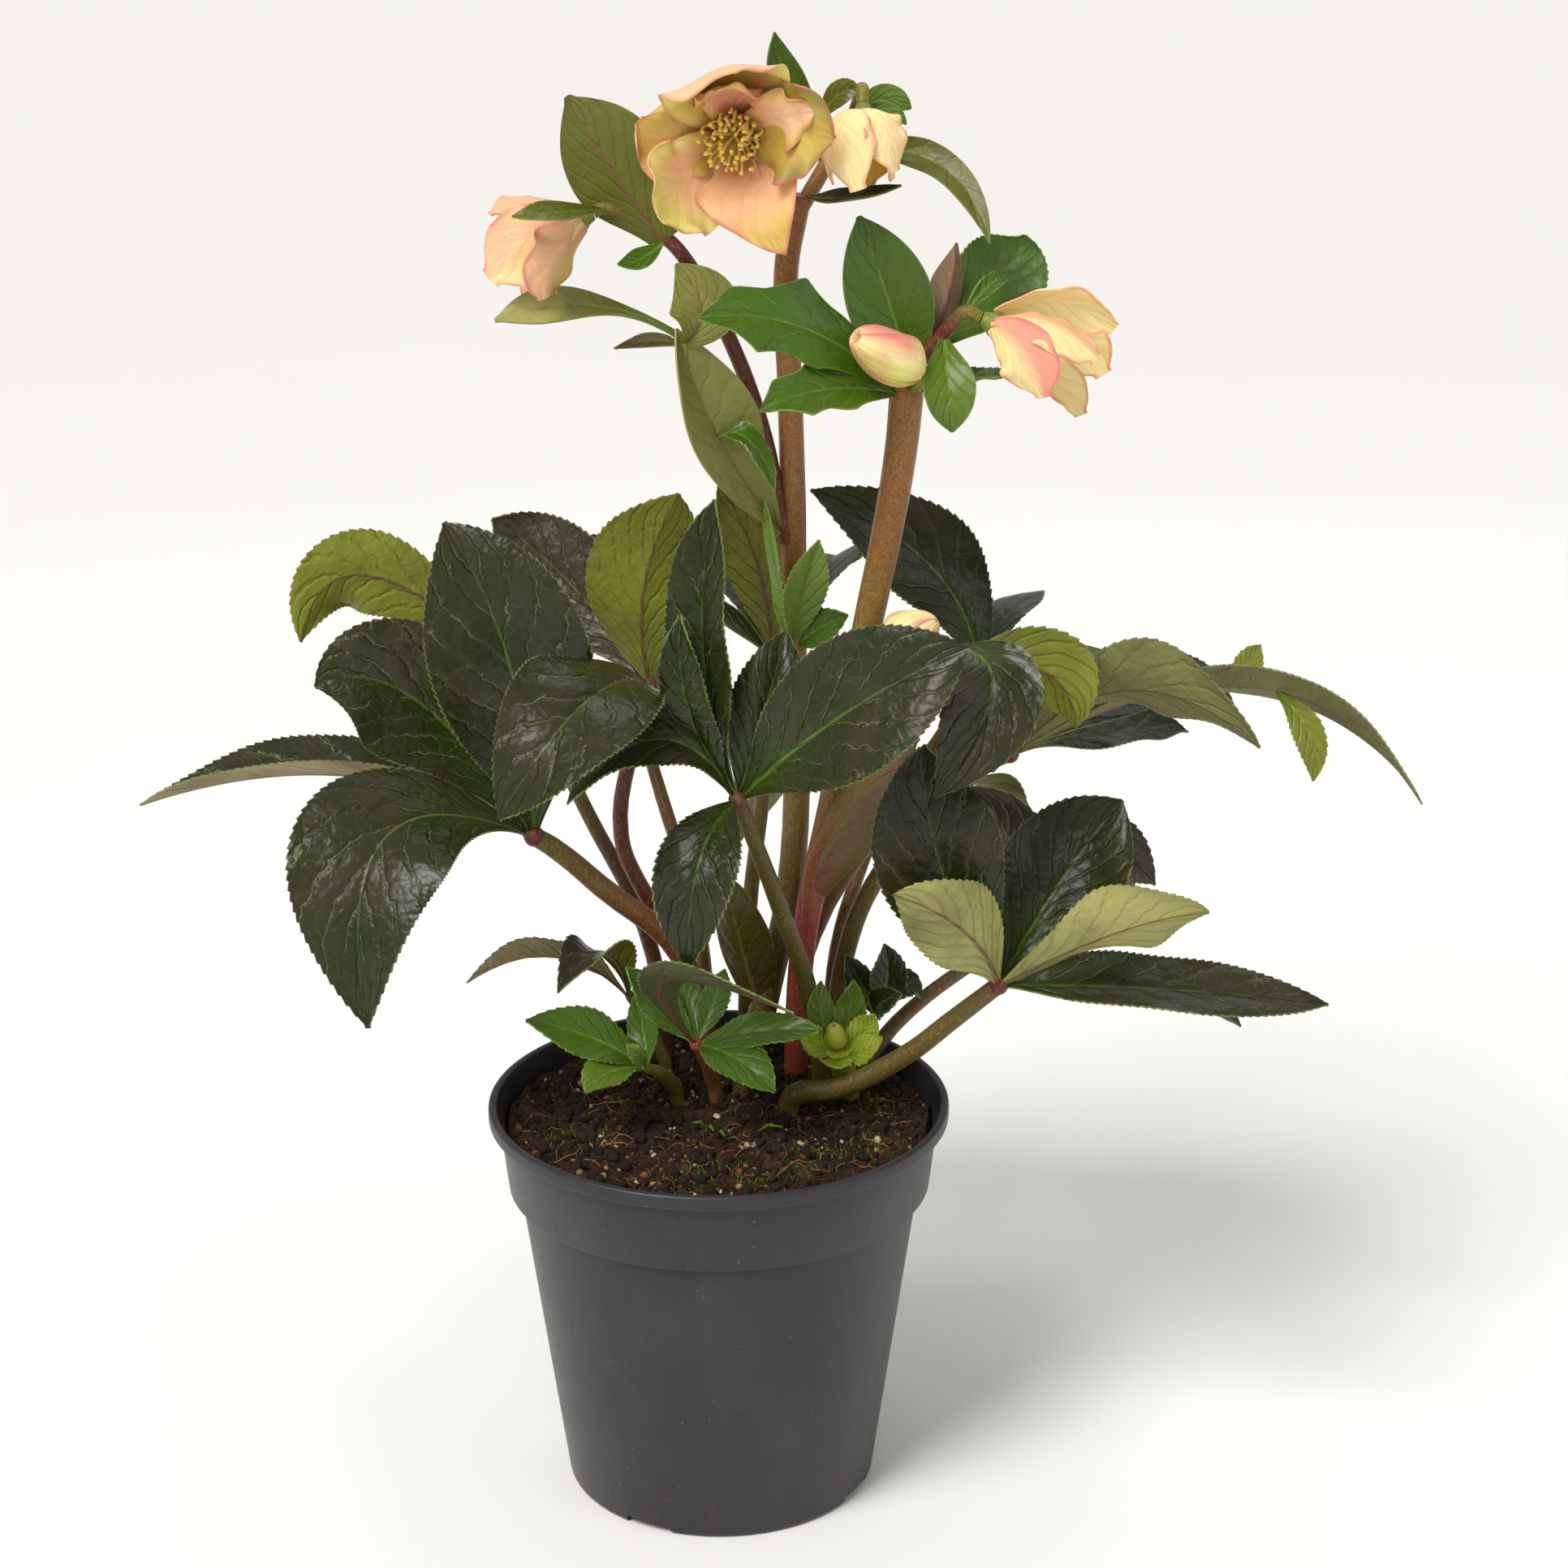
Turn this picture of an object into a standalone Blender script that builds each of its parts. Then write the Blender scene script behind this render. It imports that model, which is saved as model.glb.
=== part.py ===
"""A flowering hellebore in its nursery pot, at its real size.

Places in the tables below are in millimetres: X to the right, Y away from the front, Z up, with the
origin at the middle of the pot's flat base. The meshes are made in metres.
"""

from dataclasses import dataclass
from math import atan2, cos, pi, radians, sin

import bmesh
import bpy
import numpy as np
from mathutils import Matrix, Quaternion, Vector

MM = 0.001
GAP = 0.3
MERGE = 0.00001
SHARP_ANGLE = 35.0

# Pot
POT_HEIGHT = 115.5
RIM_RADIUS = 65.0
BASE_RADIUS = 44.0
WALL = 1.3
FLOOR_THICKNESS = 4.2
STEP_RADIUS = 56.4
STEP_HEIGHT = 89.0
COLLAR_RADIUS = 59.7
COLLAR_HEIGHT = 91.5
LIP_HEIGHT = 111.2
LIP_NECK_RADIUS = 61.9
CHANNEL_WIDTH = 14.0
CHANNEL_DEPTH = 2.4
CHANNEL_START = 17.0
CHANNEL_OUT = 6.0
CHANNEL_ANGLE = 243.0
CHANNELS = 4
DRAIN_RADIUS = 3.6
DRAIN_RING = 27.0
DRAIN_SIDES = 14
LIP_ROUND = 0.9
LIP_WALL = 2.4
LIP_DROP = 0.6
FOOT_ROUND = 2.0
OPEN_ABOVE = 2.0
POT_STEPS = 28

# Soil
SOIL_EDGE_HEIGHT = 107.5
SOIL_TOP = 112.0
MOUND_RADIUS = 48.0
MOUND_DROP = 0.4
SHOULDER = 1.2
HOLE_DEPTH = 13.0
HOLE_SIDES = 6
HOLE_RUN = 3.0

# Blades
BLADE_THICKNESS = 0.8
TOOTH = 0.9
FIRST_TOOTH = 0.25
LAST_TOOTH = 0.95
NECK_OUT = 1.1
WAVES = 1.6
WAVE_SKEW = 0.25
FOLD_POWER = 1.4
STALK_SIDES_LEVEL = 1
KNOB_TAPER = 0.7

TOWARD_VIEW = (0.0, -0.9, 0.42)

# Flowers
RECEPTACLE_LENGTH = 3.4
RECEPTACLE_START = 1.9
RECEPTACLE_FLARE = 0.6
RECEPTACLE_SIDES = 10
TEPAL_SEAT = 1.6
TEPAL_RING = 0.5
CORE_GAP = 0.9
CORE_LENGTH = 4.0
CORE_START = 0.62
CORE_END = 0.4
CORE_SIDES = 8
STAMEN_START = 2.6
STAMEN_SHORTER = 0.18
FILAMENT_RADIUS = 0.4
ANTHER_RADIUS = 0.85
STAMEN_SIDES = 3
GOLDEN_TURN = pi * (3.0 - 5.0 ** 0.5)

# Buds
BUD_RINGS = 7
BUD_SIDES = 9
BUD_TEPALS = 3
BUD_LAP = 0.13
BUD_GIRTH = 1.08
BUD_TAPER = 0.28


@dataclass(frozen=True)
class Outline:
    """How a blade's half width runs from its neck, at 0, to its tip, at 1."""

    neck: float
    belly: float
    tip: float
    teeth: float

    def half(self, along):
        """The half width at this place, as a share of the widest half width."""
        if along < self.belly:
            rise = sin(0.5 * pi * along / self.belly)
            return self.neck + (1.0 - self.neck) * rise ** 1.3
        fall = (along - self.belly) / (1.0 - self.belly)
        return max(self.tip, (1.0 - fall ** 2.1) ** 0.95)


LEAF = Outline(neck=0.07, belly=0.52, tip=0.035, teeth=1.0)
SLIM = Outline(neck=0.12, belly=0.50, tip=0.07, teeth=0.7)
BRACT = Outline(neck=0.30, belly=0.42, tip=0.05, teeth=0.0)
SHEATH = Outline(neck=0.60, belly=0.30, tip=0.06, teeth=0.0)
TEPAL = Outline(neck=0.13, belly=0.58, tip=0.16, teeth=0.0)


@dataclass(frozen=True)
class Blade:
    """A leaflet, bract or tepal: its midrib's middle and tip, its width, and where its upper side looks."""

    middle: tuple
    tip: tuple
    width: float
    face: tuple = TOWARD_VIEW
    base: tuple = None
    fold: float = 0.22
    wave: float = 1.2
    columns: int = 3
    rows: int = 6
    outline: Outline = LEAF


@dataclass(frozen=True)
class Stalk:
    """A stem, petiole or pedicel: the points on its line, and its radius at the two ends."""

    points: tuple
    start_radius: float
    end_radius: float
    level: int = STALK_SIDES_LEVEL
    knob: bool = True


@dataclass(frozen=True)
class Plant:
    """What grows as one piece: stalks and blades. A blade without a base starts at the hub."""

    name: str
    finish: str
    root: tuple = None
    root_radius: float = 0.0
    stalks: tuple = ()
    hub: tuple = None
    blades: tuple = ()


@dataclass(frozen=True)
class Bloom:
    """A flower: the end of its pedicel, the way it opens, its tepals and its ring of stamens."""

    name: str
    seat: tuple
    axis: tuple
    tepals: tuple
    stamens: int
    stamen_length: float
    stamen_spread: float
    ring: float = 3.0


@dataclass(frozen=True)
class Bud:
    """A closed flower bud: an egg from base to tip, with its outer tepals raised on it."""

    name: str
    finish: str
    base: tuple
    tip: tuple
    radius: float
    turn: float = 0.0


FINISHES = {
    "pot": ((0.055, 0.052, 0.056), 0.42),
    "soil": ((0.035, 0.022, 0.014), 0.95),
    "stem": ((0.30, 0.16, 0.08), 0.45),
    "leaf": ((0.030, 0.060, 0.022), 0.35),
    "young": ((0.090, 0.210, 0.040), 0.40),
    "shoot": ((0.300, 0.420, 0.090), 0.45),
    "tepal": ((0.850, 0.640, 0.400), 0.50),
    "stamen": ((0.780, 0.560, 0.140), 0.60),
    "bud": ((0.860, 0.620, 0.480), 0.50),
    "husk": ((0.200, 0.110, 0.060), 0.80),
}


def leaf(middle, tip, width, face=TOWARD_VIEW, **more):
    """A large leaflet with a toothed edge."""
    return Blade(middle, tip, width, face, **more)


def broad(middle, tip, width, face=TOWARD_VIEW, **more):
    """A large leaflet whose curve across the blade shows."""
    settings = {"columns": 5, "rows": 6}
    settings.update(more)
    return Blade(middle, tip, width, face, **settings)


def slim(middle, tip, width, face=TOWARD_VIEW, **more):
    """A small leaflet, in fewer faces."""
    settings = {"rows": 5, "outline": SLIM, "wave": 0.6}
    settings.update(more)
    return Blade(middle, tip, width, face, **settings)


def tiny(middle, tip, width, face=TOWARD_VIEW, **more):
    """A leaflet or bract so narrow that it needs no rib."""
    settings = {"columns": 2, "rows": 4, "outline": SLIM, "wave": 0.3}
    settings.update(more)
    return Blade(middle, tip, width, face, **settings)


def bract(middle, tip, width, face=TOWARD_VIEW, **more):
    """A smooth-edged bract on a stem."""
    settings = {"rows": 5, "outline": BRACT, "wave": 0.5}
    settings.update(more)
    return Blade(middle, tip, width, face, **settings)


def tepal(middle, tip, width, face=TOWARD_VIEW, **more):
    """A flower's tepal, broad and blunt."""
    settings = {"rows": 5, "outline": TEPAL, "wave": 0.8, "fold": 0.3}
    settings.update(more)
    return Blade(middle, tip, width, face, **settings)


def fan(hub, heading, spread, count, length, width, rise, drop):
    """The leaflets of a whole leaf round its heading, in degrees from +X towards +Y, by one rule."""
    start = Vector(hub)
    blades = []
    for index in range(count):
        share = index / (count - 1) - 0.5
        turn = radians(heading + spread * share)
        reach = length * (1.0 - 0.5 * share * share)
        way = Vector((cos(turn), sin(turn), 0.0))
        lift = rise * (1.0 - 0.8 * abs(share))
        middle = start + way * reach * 0.52 + Vector((0, 0, lift))
        tip = start + way * reach + Vector((0, 0, lift - drop))
        face = way * 0.25 + Vector((0, 0, 1))
        blades.append(leaf(tuple(middle), tuple(tip), width, tuple(face), rows=5))
    return tuple(blades)


STEM_RIGHT = Plant(
    "stem_right", "stem", root=(22, 31), root_radius=3.6,
    stalks=(
        Stalk(((24, 28, 152), (26, 27, 165), (32, 24, 195), (41, 18, 247), (47, 14, 280), (50, 11, 302),
               (51, 10, 315)), 3.6, 4.6, 2),
        Stalk(((50, 10, 314), (53, 9, 322), (59, 8, 330), (63.5, 6, 335.5), (66.3, 4.6, 338.2),
               (70.0, 4.4, 336.6)), 2.2, 1.7, knob=False),
        Stalk(((50, 10, 314), (54, 5, 319), (54.9, 1.6, 322)), 1.8, 1.5, knob=False),
        Stalk(((39, 19, 238), (42, 13, 243), (45.0, 8.4, 245.4)), 1.8, 1.5, knob=False),
        Stalk(((25, 26, 156), (28, 20, 182), (40, 12, 203), (51, 6, 220), (62, -4, 238), (64, -10, 251)),
              2.4, 1.4),
    ),
    hub=(50, 9, 315),
    blades=(
        bract((45, 9, 343), (38, 12, 362), 23, base=(52.2, 9.3, 320), fold=0.3, rows=6, columns=5),
        bract((62, 14, 341), (64, 18, 354), 10, (-0.3, 0.8, 0.2), base=(56, 8.5, 326), fold=0.6),
        slim((76, 26, 343), (83, 31, 354), 24, (0, -0.9, 0.3), base=(57.1, 8.4, 327.4)),
        leaf((23, -6, 336), (-4, -10, 339), 20, (0, -0.8, 0.55)),
        leaf((30, -12, 321), (12, -20, 317), 15, (0, -0.75, 0.6)),
        tiny((29, 16, 332), (16, 19, 339), 5),
        slim((61.5, -4, 319.5), (62.5, -7, 308.5), 14, (0.1, -0.95, 0.1), base=(60.4, 7.4, 331.6)),
        tiny((69, 12, 319), (78, 9, 320), 8, (0, -0.3, 0.9)),
        tiny((73, 13, 344), (78, 16, 346), 5, base=(65, 5.2, 336.9)),
        broad((73, -28, 244), (58, -35, 217), 27, (0.1, -0.9, 0.4), base=(64, -10, 251)),
        leaf((88, -6, 243), (97, -9, 228), 24, (0, 0.9, 0.2), base=(63, -7, 244.5)),
        bract((37, 24, 196), (52, 14, 222), 15, (-0.3, -0.9, 0.3), base=(25, 27, 158), outline=SHEATH,
              fold=0.5),
    ),
)

STEM_CENTER = Plant(
    "stem_center", "stem", root=(10, 37), root_radius=4.2,
    stalks=(
        Stalk(((14, 37, 135), (20, 36, 164), (22, 34, 213), (21, 32, 243), (21, 30, 274), (20, 27, 313),
               (19, 24, 346), (22, 22, 363)), 4.0, 3.2, 2),
        Stalk(((19, 29, 270), (17, 28, 280), (12, 26, 304), (2, 20, 332), (-6, 14, 348), (-13, 10, 357),
               (-21, 13, 361), (-28.8, 11.7, 364.2), (-31.5, 11.2, 363.0)), 2.4, 1.6, knob=False),
        Stalk(((22, 22, 361), (17, 26, 369), (10, 27, 379), (6.9, 23.7, 382.0), (6.4, 19.8, 382.4)),
              2.2, 1.9, knob=False),
        Stalk(((22, 22, 361), (30, 27, 374), (36.5, 28, 385), (38.5, 25.5, 391.5), (38.9, 18.6, 393.6),
               (39, 16, 390.5)), 2.2, 1.7, knob=False),
    ),
    hub=(22, 22, 363),
    blades=(
        bract((4, 29, 156), (1, 27, 174), 13, (-0.3, -0.9, 0.2), base=(11, 36, 128), outline=SHEATH,
              fold=0.5),
        bract((-26, 9, 374.4), (-38, 14, 392.7), 29, (0.3, 0.9, 0.1), base=(-13, 9, 356), rows=6,
              columns=5),
        tiny((-19, 5, 352), (-25, 3, 351), 6, (0, -0.8, 0.5), base=(-13, 9, 356)),
        tiny((-40, -8, 366), (-51, -11, 365.5), 6, (0.1, -0.6, 0.8), base=(-28, 11.9, 363.8)),
        bract((20, 26, 392), (16, 24, 408), 11, (0.2, -0.9, 0.2), base=(30, 27, 374)),
        slim((58, 20, 375), (72, 5, 356), 8, (0.5, -0.5, 0.8), base=(31, 27, 375.6), rows=6),
        tiny((55, 24, 377), (64, 24, 374), 4, (0, -0.4, 0.9), base=(32, 27.5, 376)),
        tiny((35, 8, 366), (23, 3, 366), 7, (0, -0.3, 0.9), base=(28, 25, 371)),
        tiny((45, 28, 390), (52, 27, 388), 9, (0, -0.8, 0.5), base=(37.2, 27.1, 387.5)),
        leaf((1, 12, 303), (-10, 8, 333), 18, (0.5, -0.75, 0.3), base=(18, 27, 273), fold=0.45),
        leaf((-3, 7, 338), (-10, 9, 350), 16, (0.2, -0.9, 0.2), base=(-9, 8.6, 328)),
        tiny((-16, 13, 329), (-27, 17, 326), 4, base=(-8.6, 8.6, 328)),
        tiny((-32, 3, 340), (-57, -2, 337), 7, (0, -0.3, 0.9), base=(-9.5, 8.4, 331), rows=6),
        slim((9, 8, 303), (16, 4, 290), 9, (0.7, -0.6, 0.2), base=(0.6, 12.2, 303)),
        slim((17, 23, 259), (13, 20, 284), 6, (-0.6, -0.6, 0.2), base=(20.5, 30, 238)),
        slim((24, 21, 258), (28, 18, 273), 12, (0.3, -0.9, 0.2), base=(21, 30, 240)),
        slim((28, 25, 246), (36, 21, 251), 10, (0.2, -0.8, 0.5), base=(21.6, 30.5, 239)),
    ),
)

LEAVES = (
    Plant(
        "leaf_front", "leaf", root=(29, 21), root_radius=2.7,
        stalks=(Stalk(((26, 15, 139), (17, 1, 173), (9, -11, 200), (6, -16, 210)), 2.7, 2.0),),
        hub=(6, -16, 210),
        blades=(
            broad((35, -36, 241), (66, -42, 260), 37, (0.05, -0.85, 0.5)),
            leaf((13, -19, 235), (19, -12, 256), 20, (-0.2, -0.95, 0.2)),
            leaf((-3, -14, 250), (0, -5, 290), 21, (-0.55, -0.8, 0.2), fold=0.45),
            slim((-6.5, -22, 236), (-9, -18, 262), 13, (-0.4, -0.9, 0.2)),
            leaf((-15, -27, 230.5), (-40, -17, 209), 19, (-0.2, -0.6, 0.75)),
            leaf((-4, -38, 200), (-7, -41, 171), 22, (-0.1, -0.95, 0.3)),
        ),
    ),
    Plant(
        "leaf_left", "leaf", root=(-4, 31), root_radius=3.2,
        stalks=(Stalk(((-11, 26, 148), (-33, 16, 173), (-46, 10, 187), (-51, 8, 191)), 3.3, 2.6),),
        hub=(-51, 8, 191),
        blades=(
            broad((-55, -8, 245), (-72, -2, 283), 43, (0.15, -0.95, 0.25)),
            broad((-83, 8, 231), (-109, 2, 236), 38, (-0.2, -0.75, 0.6)),
            leaf((-102, 8, 209), (-157, -6, 205), 22, (0, 0.1, 1), fold=0.75),
            broad((-88, -28, 203), (-92, -46, 156), 44, (-0.2, -0.8, 0.55)),
        ),
    ),
    Plant(
        "leaf_center", "leaf", root=(-5, 43), root_radius=2.5,
        stalks=(Stalk(((-12, 38, 147), (-23, 34, 167), (-28, 31, 183), (-24, 27, 212), (-19, 24, 230)),
                      2.5, 2.0),),
        hub=(-19, 24, 230),
        blades=(
            broad((-20, 24, 258), (-10, 14, 287), 34, (0.1, 0.95, 0.1)),
            leaf((-42, 44, 254), (-64, 50, 271), 28, (-0.4, -0.7, 0.5)),
            broad((-33, -41, 245), (-55, -53, 217), 36, (0, -0.75, 0.65)),
        ),
    ),
    Plant(
        "leaf_back_left", "leaf", root=(-16, 38), root_radius=2.3,
        stalks=(Stalk(((-22, 42, 150), (-39, 48, 185), (-54, 52, 217), (-58, 53, 225)), 2.3, 1.9),),
        hub=(-58, 53, 225),
        blades=(
            leaf((-100, 52, 254), (-119, 46, 236), 24, (0.05, 0.95, 0.05)),
            leaf((-77, 66, 240), (-98, 78, 228), 26, (-0.2, -0.4, 0.9), rows=5),
            leaf((-62, 78, 244), (-66, 100, 234), 28, (0, 0.4, 0.9), rows=5),
            leaf((-42, 60, 247), (-30, 66, 262), 24, (0.2, -0.6, 0.7)),
        ),
    ),
    Plant(
        "leaf_back_center", "leaf", root=(7, 49), root_radius=2.3,
        stalks=(Stalk(((8, 51, 150), (13, 52, 195), (15, 52, 222), (15, 52, 230)), 2.3, 1.8),),
        hub=(15, 52, 230),
        blades=(
            leaf((11, 51, 257), (0, 46, 283), 19, (0, 0.98, 0.1)),
            leaf((30, 70, 252), (36, 92, 246), 28, (0.1, 0.5, 0.85), rows=5),
            leaf((6, 76, 250), (0, 100, 240), 30, (0, 0.5, 0.85), rows=5),
            leaf((-12, 66, 246), (-28, 86, 238), 26, (-0.2, 0.4, 0.85), rows=5),
        ),
    ),
    Plant(
        "leaf_back_right", "leaf", root=(21, 46), root_radius=2.3,
        stalks=(Stalk(((27, 50, 145), (52, 55, 186), (70, 59, 213), (75, 60, 221)), 2.4, 1.9),),
        hub=(75, 60, 221),
        blades=(
            leaf((62, 64, 252), (26, 60, 277), 28, (0.3, -0.85, 0.4)),
            leaf((88, 70, 225), (95, 74, 229), 18, (0.1, -0.7, 0.7)),
            leaf((100, 76, 224), (122, 84, 213), 28, (0.2, 0.2, 0.95)),
            leaf((80, 88, 236), (84, 112, 222), 30, (0.1, 0.5, 0.85), rows=5),
        ),
    ),
    Plant(
        "leaf_right_high", "leaf", root=(33, 36), root_radius=2.8,
        stalks=(Stalk(((37, 32, 150), (46, 28, 173), (64, 20, 198), (77, 15, 211), (81, 14, 213)),
                      2.8, 2.2),),
        hub=(81, 14, 213),
        blades=(
            broad((113, 4, 235), (147, -8, 222), 30, (0, 0.75, 0.65)),
            leaf((124, 40, 226), (148, 48, 214), 26, (0, -0.5, 0.85)),
            leaf((150, 24, 229.5), (196, 12, 199), 21, (0, 0.45, 0.9)),
            tiny((164, 18, 218), (165.5, 14, 205), 9, base=(155.6, 23.8, 227.8)),
            tiny((148, 29, 234), (152, 33, 239), 8, (0, -0.7, 0.7), base=(145.4, 24, 229.1)),
            leaf((112, 52, 208), (137, 66, 203), 20, (0, -0.3, 0.95)),
        ),
    ),
    Plant(
        "leaf_right_low", "leaf", root=(20, 0), root_radius=3.2,
        stalks=(Stalk(((22, -1, 117), (33, -4, 120), (51, -8, 131), (66, -14, 146), (77, -18, 157)),
                      3.3, 2.4),),
        hub=(77, -18, 157),
        blades=(
            leaf((66, -36, 180), (47, -46, 194), 24, (-0.4, 0.75, 0.3)),
            broad((95, -8, 185), (111, -2, 205), 35, (-0.2, -0.85, 0.45)),
            leaf((107, -34, 179), (131, -38, 186), 25, (0, 0.75, 0.6)),
            leaf((120, -18, 156), (169, -10, 148), 25, (0, -0.4, 0.9)),
            leaf((120, 14, 147), (150, 22, 128), 20, (0, -0.3, 0.95)),
            broad((60, -24, 195), (56, -16, 225), 35, (0.1, -0.95, 0.3)),
        ),
    ),
    Plant(
        "leaf_right_back", "leaf", root=(43, 28), root_radius=2.3,
        stalks=(Stalk(((46, 30, 119), (56, 36, 128), (74, 42, 140), (83, 44, 146)), 2.3, 1.9),),
        hub=(83, 44, 146),
        blades=(
            leaf((84, 42, 175), (70, 34, 197), 27, (-0.2, -0.85, 0.45)),
            leaf((107, 52, 170), (128, 58, 158), 26, (0.2, -0.8, 0.55)),
            leaf((104, 66, 158), (126, 82, 140), 26, (0.2, 0.3, 0.9), rows=5),
            leaf((84, 68, 168), (86, 92, 156), 28, (0, 0.5, 0.85), rows=5),
        ),
    ),
    Plant(
        "leaf_left_low", "leaf", root=(-16, 27), root_radius=2.0,
        stalks=(Stalk(((-18, 27, 119), (-23, 29, 130), (-26, 30, 134)), 2.0, 1.6),),
        hub=(-26, 30, 134),
        blades=(
            leaf((-48, 22, 150), (-72, 16, 144), 14, (0, 0.5, 0.85), fold=0.4),
            leaf((-33, 17, 153), (-45, 1, 147), 15, (-0.4, -0.6, 0.7), fold=0.35),
        ),
    ),
    Plant(
        "leaf_rear_left", "leaf", root=(-4, 55), root_radius=2.2,
        stalks=(Stalk(((-8, 60, 150), (-18, 74, 180), (-22, 82, 191)), 2.2, 1.8),),
        hub=(-22, 82, 191),
        blades=fan((-22, 82, 191), 130, 130, 4, 62, 32, 14, 26),
    ),
    Plant(
        "leaf_rear_right", "leaf", root=(32, 46), root_radius=2.2,
        stalks=(Stalk(((34, 52, 140), (42, 68, 162), (48, 80, 172)), 2.2, 1.8),),
        hub=(48, 80, 172),
        blades=fan((48, 80, 172), 85, 120, 4, 60, 31, 13, 26),
    ),
    Plant(
        "young_leaf_middle", "young", root=(-1, 7), root_radius=2.1,
        stalks=(Stalk(((-2, 5, 119), (-4, -4, 130), (-6, -10, 136)), 2.2, 1.5),),
        hub=(-6, -10, 136),
        blades=(
            slim((5, -22, 137), (16, -29, 130), 15, (0, -0.5, 0.9)),
            slim((11, -15, 142), (28, -17, 143), 12, (0, -0.5, 0.9)),
            slim((-16, -8, 147), (-25, -10, 159), 11, (0.4, -0.8, 0.4)),
            tiny((-9, -2, 147), (-11, 1, 156), 9, (0, -0.9, 0.3)),
            tiny((-1, -5, 147), (2, -4, 156), 8, (0, -0.9, 0.3)),
            slim((-13, -36, 166), (21, -50, 162), 13, (0, 0.8, 0.5), rows=7),
        ),
    ),
    Plant(
        "young_leaf_left", "young", root=(-12, 5), root_radius=2.1,
        stalks=(Stalk(((-13, 3, 118), (-17, -4, 125), (-20, -8, 128)), 2.2, 1.4),),
        hub=(-20, -8, 128),
        blades=(
            slim((-35, -10, 138), (-53, -12, 144), 15, (0, -0.6, 0.8)),
            slim((-30, -18, 131), (-36, -25, 128), 12, (-0.2, -0.5, 0.85)),
            tiny((-21, -1, 136), (-24, 3, 145), 9, (-0.2, -0.9, 0.3)),
            tiny((-22, -13, 134), (-25, -15, 138), 5, (0, -0.8, 0.5)),
        ),
    ),
    Plant(
        "young_leaf_back", "young", root=(41, 19), root_radius=1.7,
        stalks=(Stalk(((42, 20, 120), (43.5, 21, 127), (44.5, 22, 131)), 1.7, 1.2),),
        hub=(44.5, 22, 131),
        blades=(
            tiny((46, 15, 138), (52, 12, 142), 9, (0, -0.7, 0.6)),
            tiny((48, 24, 142), (47, 20, 154), 11, (0.3, -0.8, 0.4)),
            tiny((53, 27, 139), (58, 28, 134), 10, (0.3, -0.5, 0.8)),
            tiny((41, 25, 139), (36, 25, 149), 9, (0, -0.9, 0.4)),
        ),
    ),
    Plant(
        "flower_shoot", "shoot", root=(37, 9), root_radius=2.8,
        stalks=(Stalk(((36, 9, 117), (35, 8, 123), (34, 6, 128)), 3.4, 4.2, knob=False),),
        hub=(34, 7, 125),
        blades=(
            slim((37, 11, 136), (38, 10, 147), 9, (0.1, -0.9, 0.3)),
            slim((41, 6, 133), (44, 4, 139), 9, (-0.3, -0.8, 0.3)),
            tiny((41, 2, 129), (46, 0, 134), 9, (0.1, -0.6, 0.7)),
            tiny((26.5, 4, 131), (24.5, 1, 139), 8, (0.5, -0.8, 0.3)),
            tiny((33, -1, 126), (34, -8, 128), 9, (0, -0.5, 0.8)),
            tiny((29, 11, 136), (29, 12, 146), 8, (0.3, -0.9, 0.3)),
        ),
    ),
    Plant(
        "old_stalk", "husk", root=(6, 8), root_radius=2.4,
        stalks=(Stalk(((6, 7.6, 117), (5.6, 6.8, 121), (5, 5.6, 124)), 2.3, 1.5),),
    ),
)

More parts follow.
